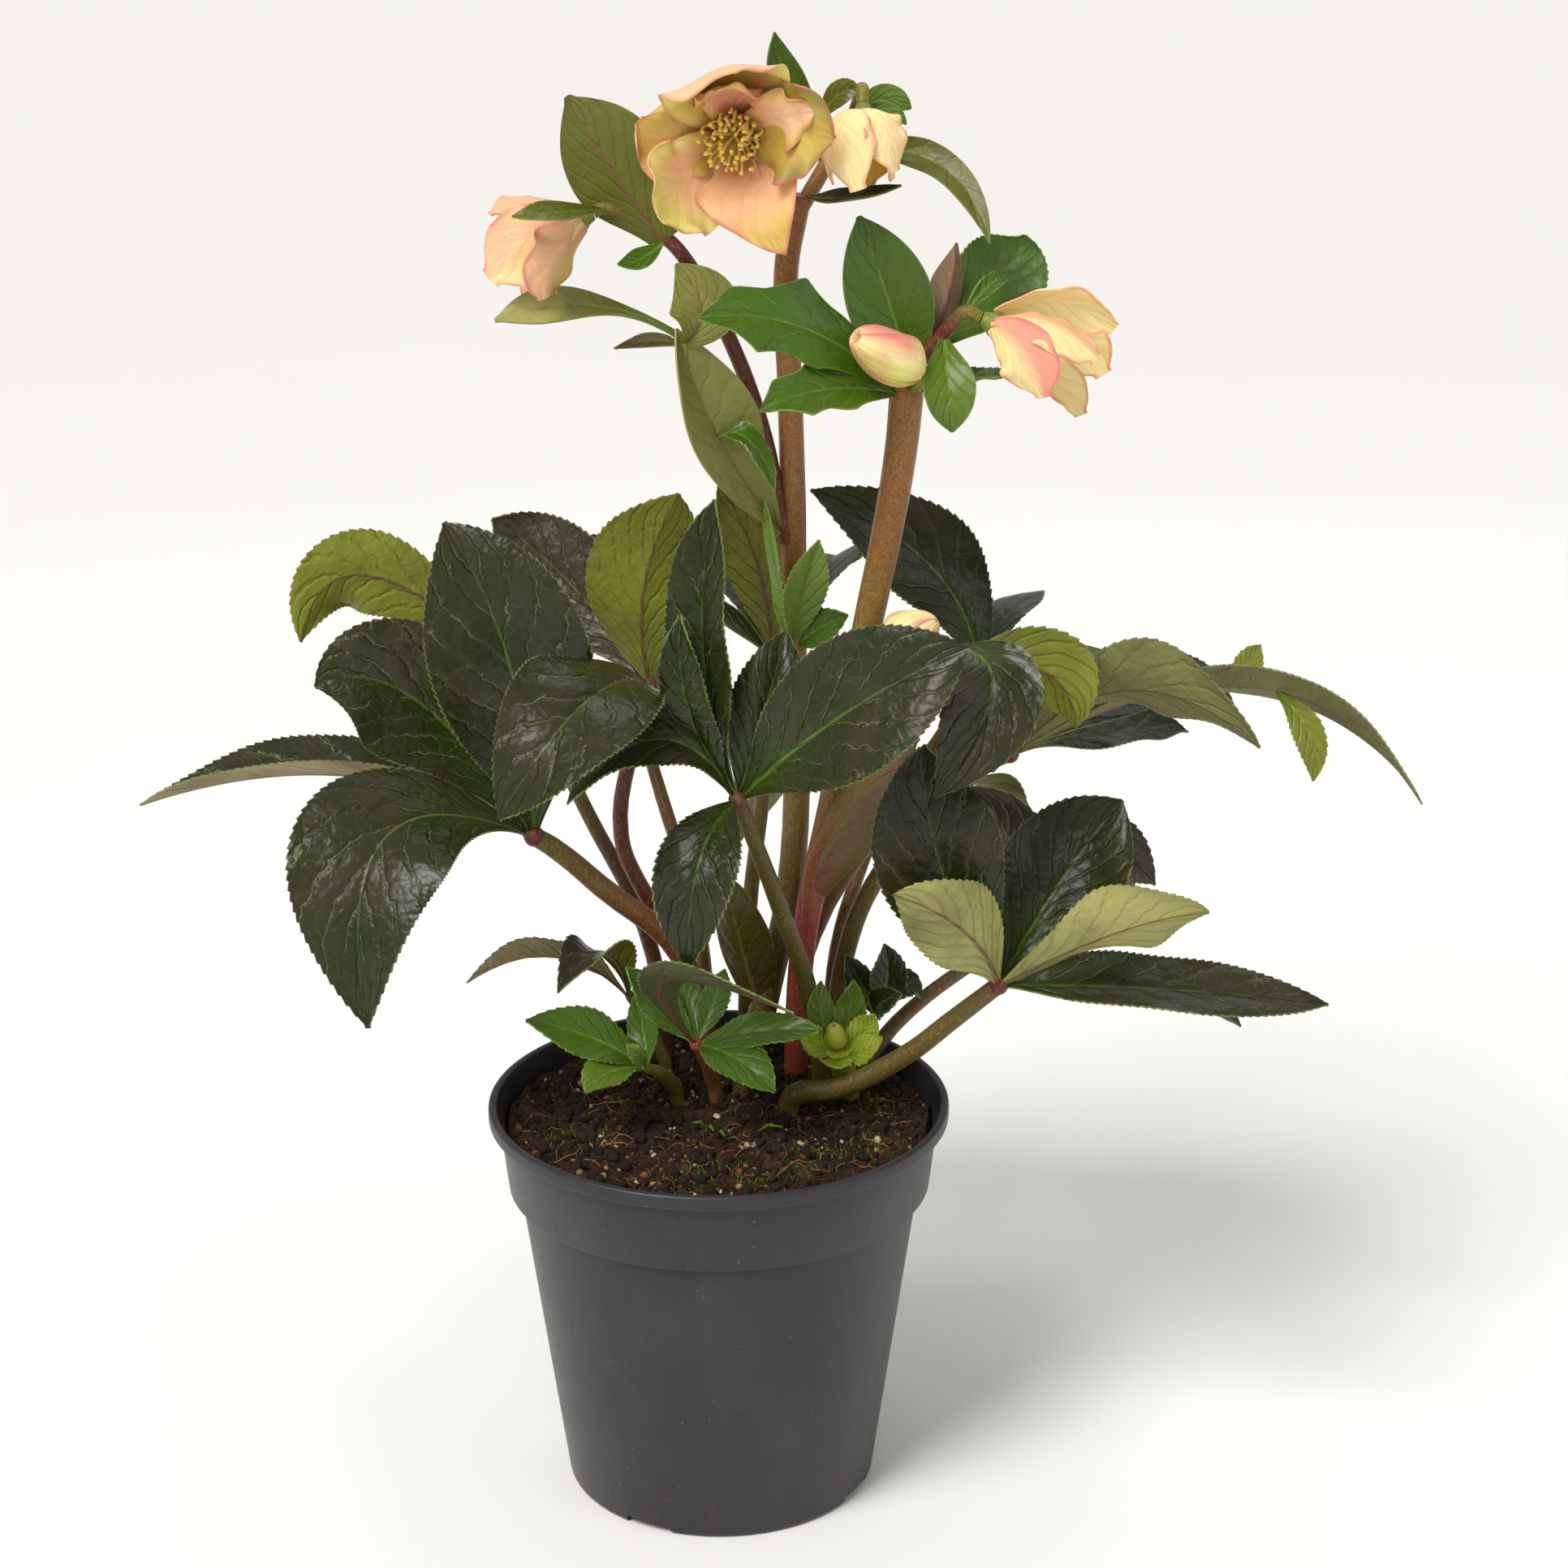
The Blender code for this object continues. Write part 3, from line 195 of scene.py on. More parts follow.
class Bench:
    """A material under construction on one Principled shader."""

    def __init__(self, name: str) -> None:
        """Start a material with an empty node tree."""
        self.material = bpy.data.materials.new(name)
        self.material.use_nodes = True
        self.tree = self.material.node_tree
        self.shader = self.tree.nodes["Principled BSDF"]

    def node(self, kind: str, settings: dict[str, Any], values: dict[Any, Any], output: Any = 0) -> Wire:
        """Add a node.

        Args:
            kind: The node's type.
            settings: Properties, set before the sockets.
            values: Values or wires for its inputs, by name or number.
            output: The output to read.

        Returns:
            That output.
        """
        made = self.tree.nodes.new(kind)
        for name, value in settings.items():
            setattr(made, name, value)
        for name, value in values.items():
            self.feed(made.inputs[name], value)
        return Wire(self, made.outputs[output])

    def feed(self, socket: Any, value: Any) -> None:
        """Link a wire to a socket, or set a plain value or colour on it.

        Args:
            socket: The input.
            value: A wire, a number, a vector, a colour, or a Hue or Tint.
        """
        if isinstance(value, Enum):
            value = value.value
        if isinstance(value, Wire):
            self.tree.links.new(value.socket, socket)
        elif isinstance(value, tuple) and len(value) == 3 and len(socket.default_value) == 4:
            socket.default_value = (*value, 1.0)
        else:
            socket.default_value = value

    def attribute(self, name: str, output: str = "Vector") -> Wire:
        """An attribute of the piece's own mesh."""
        return self.node("ShaderNodeAttribute", {"attribute_name": name}, {}, output)

    def parts(self, vector: Wire) -> tuple[Wire, Wire, Wire]:
        """A vector's three numbers."""
        split = self.node("ShaderNodeSeparateXYZ", {}, {0: vector})
        outputs = split.socket.node.outputs
        return tuple(Wire(self, outputs[index]) for index in range(3))

    def place(self) -> Wire:
        """Object coordinates."""
        return self.node("ShaderNodeTexCoord", {}, {}, "Object")

    def noise(self, scale: float, detail: float = 3.0, rough: float = 0.55, stretch: Point = None) -> Wire:
        """Soft noise, 0 to 1 and 0.5 on average.

        Args:
            scale: How many features it has to a metre.
            detail: How many finer layers it holds.
            rough: How much each finer layer weighs.
            stretch: What the coordinates are multiplied by.

        Returns:
            The noise.
        """
        where = self.place()
        if stretch is not None:
            where = self.node("ShaderNodeMapping", {}, {"Vector": where, "Scale": stretch})
        return self.node("ShaderNodeTexNoise", {}, {"Vector": where, "Scale": scale, "Detail": detail,
                                                    "Roughness": rough})

    def cells(self, scale: float, feature: str = "F1", warp: float = 0.0) -> Wire:
        """A cell pattern.

        Args:
            scale: How many cells it has to a metre.
            feature: What it measures.
            warp: How far its places are shifted, in metres, so that no edge is straight.

        Returns:
            The distance to the nearest point or edge.
        """
        where = self.place()
        if warp:
            shift = self.node("ShaderNodeTexNoise", {}, {"Vector": where, "Scale": scale, "Detail": 2.0}, 1)
            shift = self.node("ShaderNodeVectorMath", {"operation": "SUBTRACT"},
                              {0: shift, 1: (0.5, 0.5, 0.5)})
            shift = self.node("ShaderNodeVectorMath", {"operation": "SCALE"}, {0: shift, "Scale": warp})
            where = self.node("ShaderNodeVectorMath", {"operation": "ADD"}, {0: where, 1: shift})
        return self.node("ShaderNodeTexVoronoi", {"feature": feature}, {"Vector": where, "Scale": scale})

    def mix(self, share: Any, first: Any, second: Any) -> Wire:
        """The colour at this share of the way from the first to the second."""
        return self.node("ShaderNodeMix", {"data_type": "RGBA", "clamp_factor": True},
                         {0: share, 6: first, 7: second}, 2)

    def bump(self, height: Wire, depth: float, under: Wire = None) -> Wire:
        """A surface raised by a height.

        Args:
            height: The height, about 0 to 1.
            depth: How many metres a height of 1 is.
            under: The raised surface that this one lies on, if any.

        Returns:
            The surface's normal.
        """
        values = {"Height": height, "Distance": depth}
        if under is not None:
            values["Normal"] = under
        return self.node("ShaderNodeBump", {}, values)

    def done(self, **sockets: Any) -> Material:
        """Feed the shader's sockets, named with spaces as underscores, and give back the material."""
        for name, value in sockets.items():
            self.feed(self.shader.inputs[name.replace("_", " ")], value)
        return self.material


class Finish:
    """A finish that makes its material once."""

    name: str
    _made: dict[str, Material] = {}

    def material(self) -> Material:
        """The finish's material, made at the first call."""
        key = f"{type(self).__name__}_{self.name}"
        if key not in Finish._made:
            Finish._made[key] = self.make(Bench(key.lower()))
        return Finish._made[key]

    def make(self, bench: Bench) -> Material:
        """Build the material on the bench."""
        raise NotImplementedError


@dataclass(frozen=True)
class LeafFinish(Finish):
    """Leaf skin: a waxy upper side with pale veins, and a dull under side with a dark midrib.

    It reads three numbers in "rib", which are the distance across from the midrib, the distance from the
    margin and the share of the way along, and three in "growth", which are the count of side veins, the
    side of the blade and its flush.
    """

    name: str
    vein_paint: Colour
    vein_share: float
    rib_paint: Colour
    under_rib: Colour
    gloss: float
    wax: float
    crinkle: float
    bronze: float

    def make(self, bench: Bench) -> Material:
        """Build the material on the bench."""
        rib, edge, along = bench.parts(bench.attribute("rib"))
        phase, under, flush = bench.parts(bench.attribute("growth"))
        paint = bench.attribute("paint", "Color")
        wander = bench.noise(210.0, 3.0)
        patches = bench.noise(34.0, 4.0, 0.6)
        fine = bench.noise(1500.0, 3.0)
        body = bench.mix(patches.smooth(0.42, 0.7) * self.bronze, paint, Tint.BRONZE)
        body = bench.mix(fine.smooth(0.35, 0.75) * 0.2, body, bench.mix(0.5, body, Tint.LEAF_SHADOW))

        side_vein = (phase + (wander - 0.5) * 0.8).triangle()
        side_line = side_vein.smooth(0.034, 0.006) * bench.noise(110.0, 3.0).smooth(0.4, 0.62)
        net = bench.cells(230.0, "DISTANCE_TO_EDGE", warp=0.004)
        net_line = net.smooth(0.035, 0.006) * bench.noise(75.0, 3.0).smooth(0.5, 0.68) * 0.45
        veins = side_line.most(net_line) * edge.smooth(0.2, 1.6)
        rib_width = 0.62 - along * 0.45
        middle = (rib.size() - rib_width).smooth(0.22, -0.22)

        top = bench.mix(veins * self.vein_share, body, self.vein_paint)
        top = bench.mix(middle * (1.0 - along * 0.85) * 0.6, top, self.rib_paint)
        low = bench.mix(veins * 0.22, body, bench.mix(0.5, body, self.under_rib))
        low = bench.mix(middle * 0.7, low, self.under_rib)
        skin = bench.mix(under, top, low)
        margin = edge.smooth(0.34, 0.08) * bench.noise(300.0, 2.0).smooth(0.3, 0.6)
        skin = bench.mix(margin * 0.45, skin, self.vein_paint)
        skin = bench.mix(flush, skin, bench.mix(0.6, skin, Hue.MAROON))

        swell = bench.noise(95.0, 3.0, 0.5)
        puckers = net.smooth(0.0, 0.3) * 0.16 + side_vein.smooth(0.0, 0.2) * 0.5 + swell * 2.2
        grain = bench.bump(bench.noise(4200.0, 2.0), 0.00004)
        relief = bench.bump(puckers, self.crinkle, grain)
        matte = self.gloss + (patches - 0.5) * 0.14 + veins * 0.08 + under * 0.22
        return bench.done(Base_Color=skin, Roughness=matte, Normal=relief,
                          Coat_Weight=(1.0 - under) * self.wax, Coat_Roughness=0.16, Specular_IOR_Level=0.3)


@dataclass(frozen=True)
class StemFinish(Finish):
    """Stem skin: fine red-brown specks and long faint ridges over its own colour."""

    name: str = "speckled"

    def make(self, bench: Bench) -> Material:
        """Build the material on the bench."""
        paint = bench.attribute("paint", "Color")
        ridges = bench.noise(520.0, 3.0, 0.6, (1.0, 1.0, 0.1))
        clouds = bench.noise(60.0, 4.0, 0.6)
        specks = bench.noise(1500.0, 2.0, 0.5).smooth(0.48, 0.6)
        pale = bench.noise(1150.0, 2.0, 0.5, (1.0, 1.0, 0.6)).smooth(0.54, 0.66)
        body = bench.mix(clouds.smooth(0.4, 0.66) * 0.35, paint, bench.mix(0.5, paint, Tint.STEM_CLOUD))
        body = bench.mix(pale * 0.3, body, bench.mix(0.5, body, Tint.STEM_PALE))
        body = bench.mix(specks * 0.75, body, bench.mix(0.62, body, Tint.STEM_SPECK))
        relief = bench.bump(ridges * 1.4 + bench.noise(2200.0, 3.0) * 0.4, 0.00028)
        matte = 0.4 + (clouds - 0.5) * 0.2
        return bench.done(Base_Color=body, Roughness=matte, Normal=relief, Specular_IOR_Level=0.35)


@dataclass(frozen=True)
class TepalFinish(Finish):
    """A tepal: its own cream, green or peach, with a pink margin, fine veins and a few red specks."""

    name: str = "tepal"

    def make(self, bench: Bench) -> Material:
        """Build the material on the bench."""
        edge = bench.parts(bench.attribute("rib"))[1]
        phase, under, flush = bench.parts(bench.attribute("growth"))
        paint = bench.attribute("paint", "Color")
        clouds = bench.noise(75.0, 3.0, 0.5)
        streaks = (phase + (bench.noise(300.0, 2.0) - 0.5) * 0.6).triangle()
        rosy = (clouds.smooth(0.32, 0.68) * flush * 0.85).most(under * 0.45 * flush)
        body = bench.mix(rosy * 0.8, paint, Tint.BLUSH)
        body = bench.mix(streaks.smooth(0.16, 0.03) * 0.28, body, bench.mix(0.6, body, Tint.TEPAL_VEIN))
        margin = edge.smooth(1.5, 0.1) * (0.4 + bench.noise(160.0, 2.0).smooth(0.35, 0.6) * 0.6)
        body = bench.mix(margin * 0.62, body, Tint.TEPAL_MARGIN)
        specks = bench.cells(520.0).smooth(0.17, 0.1) * bench.noise(110.0, 2.0).smooth(0.5, 0.6) * flush
        body = bench.mix(specks * 0.6, body, Tint.TEPAL_SPECK)
        relief = bench.bump(streaks + bench.noise(900.0, 3.0) * 0.6, 0.00025)
        matte = 0.46 + (clouds - 0.5) * 0.12
        return bench.done(Base_Color=body, Roughness=matte, Normal=relief, Subsurface_Weight=0.15,
                          Subsurface_Radius=(0.9, 0.55, 0.3), Subsurface_Scale=0.0014,
                          Specular_IOR_Level=0.4)


@dataclass(frozen=True)
class ThreadFinish(Finish):
    """Stamens and styles: their own colour, powdered with fine grain."""

    name: str = "stamen"

    def make(self, bench: Bench) -> Material:
        """Build the material on the bench."""
        paint = bench.attribute("paint", "Color")
        grain = bench.noise(2400.0, 3.0)
        body = bench.mix(grain.smooth(0.4, 0.7) * 0.4, paint, bench.mix(0.5, paint, Tint.POLLEN))
        return bench.done(Base_Color=body, Roughness=0.6 + (grain - 0.5) * 0.2,
                          Normal=bench.bump(grain, 0.00015), Subsurface_Weight=0.1,
                          Subsurface_Scale=0.001)


@dataclass(frozen=True)
class PotFinish(Finish):
    """Thin black-grey nursery plastic: satin, with faint streaks from the mould and specks of dust."""

    name: str = "plastic"

    def make(self, bench: Bench) -> Material:
        """Build the material on the bench."""
        clouds = bench.noise(28.0, 5.0, 0.6)
        streaks = bench.noise(60.0, 3.0, 0.6, (1.0, 1.0, 0.12))
        height = bench.parts(bench.place())[2]
        body = bench.mix(clouds.smooth(0.3, 0.75), Tint.PLASTIC, Tint.WORN_PLASTIC)
        body = bench.mix(streaks.smooth(0.5, 0.8) * 0.3, body, Tint.MOULD_STREAK)
        splashes = bench.noise(150.0, 5.0, 0.7).smooth(0.56, 0.78) * height.smooth(0.03, 0.0)
        body = bench.mix(splashes * 0.6, body, Tint.SPLASH)
        dust = bench.cells(240.0).smooth(0.07, 0.04) * bench.noise(90.0, 3.0).smooth(0.5, 0.56)
        motes = bench.noise(1300.0, 2.0, 0.5).smooth(0.7, 0.74) * bench.noise(40.0, 3.0).smooth(0.45, 0.65)
        dust = dust.most(motes * 0.6)
        body = bench.mix(dust * 0.6, body, Tint.DUST)
        scratch = bench.noise(900.0, 2.0, 0.6, (1.0, 1.0, 0.03))
        matte = 0.4 + (clouds - 0.5) * 0.2 + dust * 0.3 + scratch.smooth(0.55, 0.75) * 0.08
        relief = bench.bump(bench.noise(1900.0, 3.0) + scratch * 0.5, 0.00006)
        return bench.done(Base_Color=body, Roughness=matte, Normal=relief, Specular_IOR_Level=0.4)


@dataclass(frozen=True)
class SoilFinish(Finish):
    """Damp peat with green algae and moss in patches."""

    name: str = "peat"

    def make(self, bench: Bench) -> Material:
        """Build the material on the bench."""
        coarse = bench.noise(130.0, 6.0, 0.65)
        crumbs = bench.cells(620.0)
        body = bench.mix(coarse.smooth(0.3, 0.72), Tint.WET_PEAT, Tint.DRY_PEAT)
        body = bench.mix(bench.noise(900.0, 4.0).smooth(0.5, 0.7) * 0.6, body, Tint.PEAT_FIBRE)
        fine = bench.noise(1600.0, 4.0, 0.7)
        algae = bench.noise(42.0, 5.0, 0.6).smooth(0.5, 0.62) * fine.smooth(0.42, 0.62)
        body = bench.mix(algae * 0.8, body, Tint.ALGAE)
        pale = bench.cells(430.0).smooth(0.13, 0.08) * bench.noise(80.0, 2.0).smooth(0.5, 0.58)
        body = bench.mix(pale * 0.7, body, Tint.PALE_GRIT)
        relief = bench.bump(coarse * 1.2 + fine * 0.8 + crumbs * 0.6, 0.0022)
        matte = 0.86 - (coarse - 0.5) * 0.3
        return bench.done(Base_Color=body, Roughness=matte, Normal=relief, Specular_IOR_Level=0.25)


@dataclass(frozen=True)
class GritFinish(Finish):
    """Loose bits on the soil: each in its own colour, grained."""

    name: str = "grit"

    def make(self, bench: Bench) -> Material:
        """Build the material on the bench."""
        paint = bench.attribute("paint", "Color")
        grain = bench.noise(1500.0, 4.0, 0.65)
        body = bench.mix(grain.smooth(0.35, 0.7) * 0.7, paint, bench.mix(0.65, paint, Tint.GRIT_SHADOW))
        return bench.done(Base_Color=body, Roughness=0.8 - (grain - 0.5) * 0.3,
                          Normal=bench.bump(grain, 0.0006), Specular_IOR_Level=0.25)


OLD_LEAF = LeafFinish(
    "old", vein_paint=shade(134, 152, 92), vein_share=0.4, rib_paint=shade(104, 138, 52),
    under_rib=shade(96, 56, 40), gloss=0.31, wax=0.1, crinkle=0.0007, bronze=0.42,
)
YOUNG_LEAF = LeafFinish(
    "young", vein_paint=shade(140, 170, 84), vein_share=0.22, rib_paint=shade(124, 160, 66),
    under_rib=shade(112, 64, 48), gloss=0.34, wax=0.16, crinkle=0.0004, bronze=0.08,
)
BRACT_SKIN = LeafFinish(
    "bract", vein_paint=shade(132, 150, 76), vein_share=0.16, rib_paint=shade(120, 150, 66),
    under_rib=shade(112, 50, 46), gloss=0.38, wax=0.1, crinkle=0.0004, bronze=0.2,
)
SAGE_SKIN = LeafFinish(
    "sage", vein_paint=shade(132, 150, 76), vein_share=0.16, rib_paint=shade(112, 70, 54),
    under_rib=shade(112, 70, 54), gloss=0.36, wax=0.12, crinkle=0.0004, bronze=0.15,
)
STEM = StemFinish()
TEPAL_SKIN = TepalFinish()
THREAD = ThreadFinish()
GRIT = GritFinish()


def alone() -> None:
    """Deselect everything, so that an operator acts on new pieces only."""
    bpy.ops.object.select_all(action="DESELECT")


def active() -> Piece:
    """The piece that the last operator made or left active."""
    return bpy.context.view_layer.objects.active


def choose(pieces: Iterable[Piece]) -> None:
    """Select these pieces only, with the first one active."""
    alone()
    for index, piece in enumerate(pieces):
        piece.select_set(True)
        if index == 0:
            bpy.context.view_layer.objects.active = piece


def join(pieces: Sequence[Piece], name: str) -> Piece:
    """Join pieces into one object, with smooth faces and crisp edges.

    Args:
        pieces: The pieces, one or more.
        name: The name of the object and of its mesh.

    Returns:
        The object.
    """
    choose(pieces)
    if len(pieces) > 1:
        bpy.ops.object.join()
    body = active()
    body.name = name
    body.data.name = name
    bpy.ops.object.shade_smooth_by_angle(angle=EDGE_ANGLE)
    return body


def apply_modifier(piece: Piece, kind: str, **settings: Any) -> None:
    """Add a modifier to a piece and apply it.

    Args:
        piece: The piece.
        kind: The modifier's type.
        **settings: The modifier's properties.
    """
    choose([piece])
    bpy.ops.object.modifier_add(type=kind)
    modifier = piece.modifiers[-1]
    for name, value in settings.items():
        setattr(modifier, name, value)
    bpy.ops.object.modifier_apply(modifier=modifier.name)


def clean(merge: bool = False, fill: bool = False) -> None:
    """Turn all faces of the active piece outward.

    Args:
        merge: Merges points that lie on each other first.
        fill: Fills the piece's open ends first.
    """
    bpy.ops.object.mode_set(mode="EDIT")
    bpy.ops.mesh.select_all(action="SELECT")
    if merge:
        bpy.ops.mesh.remove_doubles(threshold=MERGE)
    if fill:
        bpy.ops.mesh.fill_holes(sides=0)
    bpy.ops.mesh.normals_make_consistent(inside=False)
    bpy.ops.object.mode_set(mode="OBJECT")


def places_of(mesh: bpy.types.Mesh) -> Rows:
    """A mesh's points as an array of rows."""
    flat = np.empty(len(mesh.vertices) * 3)
    mesh.vertices.foreach_get("co", flat)
    return flat.reshape(-1, 3)


def put(mesh: bpy.types.Mesh, points: Rows) -> None:
    """Write a mesh's points."""
    mesh.vertices.foreach_set("co", np.ascontiguousarray(points, dtype=np.float32).ravel())
    mesh.update()


def note(mesh: bpy.types.Mesh, name: str, rows: Rows) -> None:
    """Write a vector or a colour for each point as an attribute.

    Args:
        mesh: The mesh.
        name: The attribute's name, which the finishes read.
        rows: A row for each point, of three numbers for a vector and four for a colour.
    """
    kind = "FLOAT_COLOR" if rows.shape[1] == 4 else "FLOAT_VECTOR"
    layer = mesh.attributes.get(name) or mesh.attributes.new(name, kind, "POINT")
    layer.data.foreach_set("color" if kind == "FLOAT_COLOR" else "vector",
                           np.ascontiguousarray(rows, dtype=np.float32).ravel())


def painted(mesh: bpy.types.Mesh, colour: Any) -> None:
    """Give every point of a mesh this colour, or its own row of colours."""
    rows = np.ones((len(mesh.vertices), 4))
    rows[:, :3] = colour
    note(mesh, "paint", rows)


def dressed(piece: Piece, finish: Finish) -> Piece:
    """Give a piece one finish."""
    piece.data.materials.clear()
    piece.data.materials.append(finish.material())
    return piece


def handed_over(piece: Piece, slot: str, *nodes: str) -> Piece:
    """Make a piece ride on the plant's body.

    Args:
        piece: The finished piece.
        slot: The slot that its material fills; it is not used.
        *nodes: The nodes that it stands for, if any.

    Returns:
        The piece.
    """
    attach(piece, BODY)
    if nodes:
        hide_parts(*nodes)
    LOG.info("%s: %d faces for %s", piece.name, len(piece.data.polygons), ", ".join(nodes) or "nothing")
    return piece


def blended(hues: Sequence[Hue], share: Rows) -> Rows:
    """Rows of colour from a run of hues, at each share from 0 to 1 of the way along it."""
    stops = np.linspace(0.0, 1.0, len(hues))
    channels = [np.interp(share, stops, [hue.value[axis] for hue in hues]) for axis in range(3)]
    return np.stack(channels, axis=1)


def toward(rows: Rows, hue: Hue, share: Rows) -> Rows:
    """Rows of colour, moved to a hue by each point's share."""
    return rows + (np.array(hue.value) - rows) * share[:, None]


def unit(rows: Rows) -> Rows:
    """Rows scaled to length one."""
    return rows / np.maximum(np.linalg.norm(rows, axis=-1, keepdims=True), 1e-9)


def ramp(values: Rows, slope: float, start: float) -> Rows:
    """A straight rise of values times slope plus start, held between 0 and 1."""
    return np.clip(values * slope + start, 0.0, 1.0)


@dataclass(frozen=True)
class Outline:
    """How a blade's half width runs from its neck, at 0, to its tip, at 1."""

    neck: float
    belly: float
    tip: float
    point: float = 2.1
    swell: float = 1.3

    ROUNDING = 0.95

    def half(self, along: Rows) -> Rows:
        """The half width at each place, as a share of the widest half width."""
        rise = np.sin(0.5 * pi * np.clip(along / self.belly, 0.0, 1.0))
        lower = self.neck + (1.0 - self.neck) * rise ** self.swell
        fall = np.clip((along - self.belly) / (1.0 - self.belly), 0.0, 1.0)
        upper = np.maximum(self.tip, (1.0 - fall ** self.point) ** self.ROUNDING)
        return np.where(along < self.belly, lower, upper)


LEAF = Outline(neck=0.07, belly=0.52, tip=0.035)
SLIM = Outline(neck=0.12, belly=0.50, tip=0.07)
BRACT = Outline(neck=0.30, belly=0.42, tip=0.05)
SHEATH = Outline(neck=0.60, belly=0.30, tip=0.06)
TEPAL = Outline(neck=0.32, belly=0.56, tip=0.12)
ROUND = Outline(neck=0.3, belly=0.52, tip=0.06, point=2.0)
BLUNT = Outline(neck=0.3, belly=0.56, tip=0.3, point=3.6)
SPADE = Outline(neck=0.35, belly=0.3, tip=0.03, point=1.05)
SPOON = Outline(neck=0.2, belly=0.76, tip=0.1, point=1.8, swell=3.2)


@dataclass(frozen=True)
class Cut:
    """How finely a kind of blade is cut: its mesh, its teeth and its relief.

    Lengths are in millimetres. columns are the shares of the half width at which the mesh has a line, and
    row is the distance between its cross rows on a blade without teeth.
    """

    finish: Finish
    columns: tuple[float, ...]
    tooth: float = 0.0
    row: float = 1.4
    quilt: float = 0.0
    veins: float = 7.0
    groove: float = 0.0
    frill: float = 0.0
    scallop: float = 0.0
    lobing: float = 0.0
    ruffle: float = 0.5
    heart_share: float = 0.6


WIDE_COLUMNS = (0.0, 0.04, 0.1, 0.19, 0.3, 0.43, 0.57, 0.72, 0.88, 1.0)
SLIM_COLUMNS = (0.0, 0.06, 0.16, 0.32, 0.52, 0.76, 1.0)
OLD_CUT = Cut(OLD_LEAF, WIDE_COLUMNS, tooth=0.62, quilt=0.16, groove=0.5, ruffle=2.1)
YOUNG_CUT = Cut(YOUNG_LEAF, SLIM_COLUMNS, tooth=0.5, quilt=0.1, veins=6.0, groove=0.35)
BRACT_CUT = Cut(BRACT_SKIN, WIDE_COLUMNS, quilt=0.08, veins=6.0, groove=0.4)
LOBED_CUT = Cut(YOUNG_LEAF, WIDE_COLUMNS, row=0.8, lobing=0.42, quilt=0.12, veins=6.0, groove=0.45,
                ruffle=1.3)
SMALL_CUT = Cut(BRACT_SKIN, SLIM_COLUMNS, quilt=0.05, veins=5.0, groove=0.3, ruffle=0.3)
SAGE_CUT = Cut(SAGE_SKIN, WIDE_COLUMNS, quilt=0.08, veins=6.0, groove=0.4, ruffle=0.7)
TEPAL_CUT = Cut(TEPAL_SKIN, WIDE_COLUMNS, quilt=0.12, veins=5.0, groove=-0.3, frill=0.8, scallop=0.02,
                row=0.9, heart_share=0.95)
RUFFLED_CUT = Cut(TEPAL_SKIN, WIDE_COLUMNS, quilt=0.12, veins=5.0, groove=-0.3, frill=2.2, scallop=0.07,
                  row=0.8, heart_share=1.0)


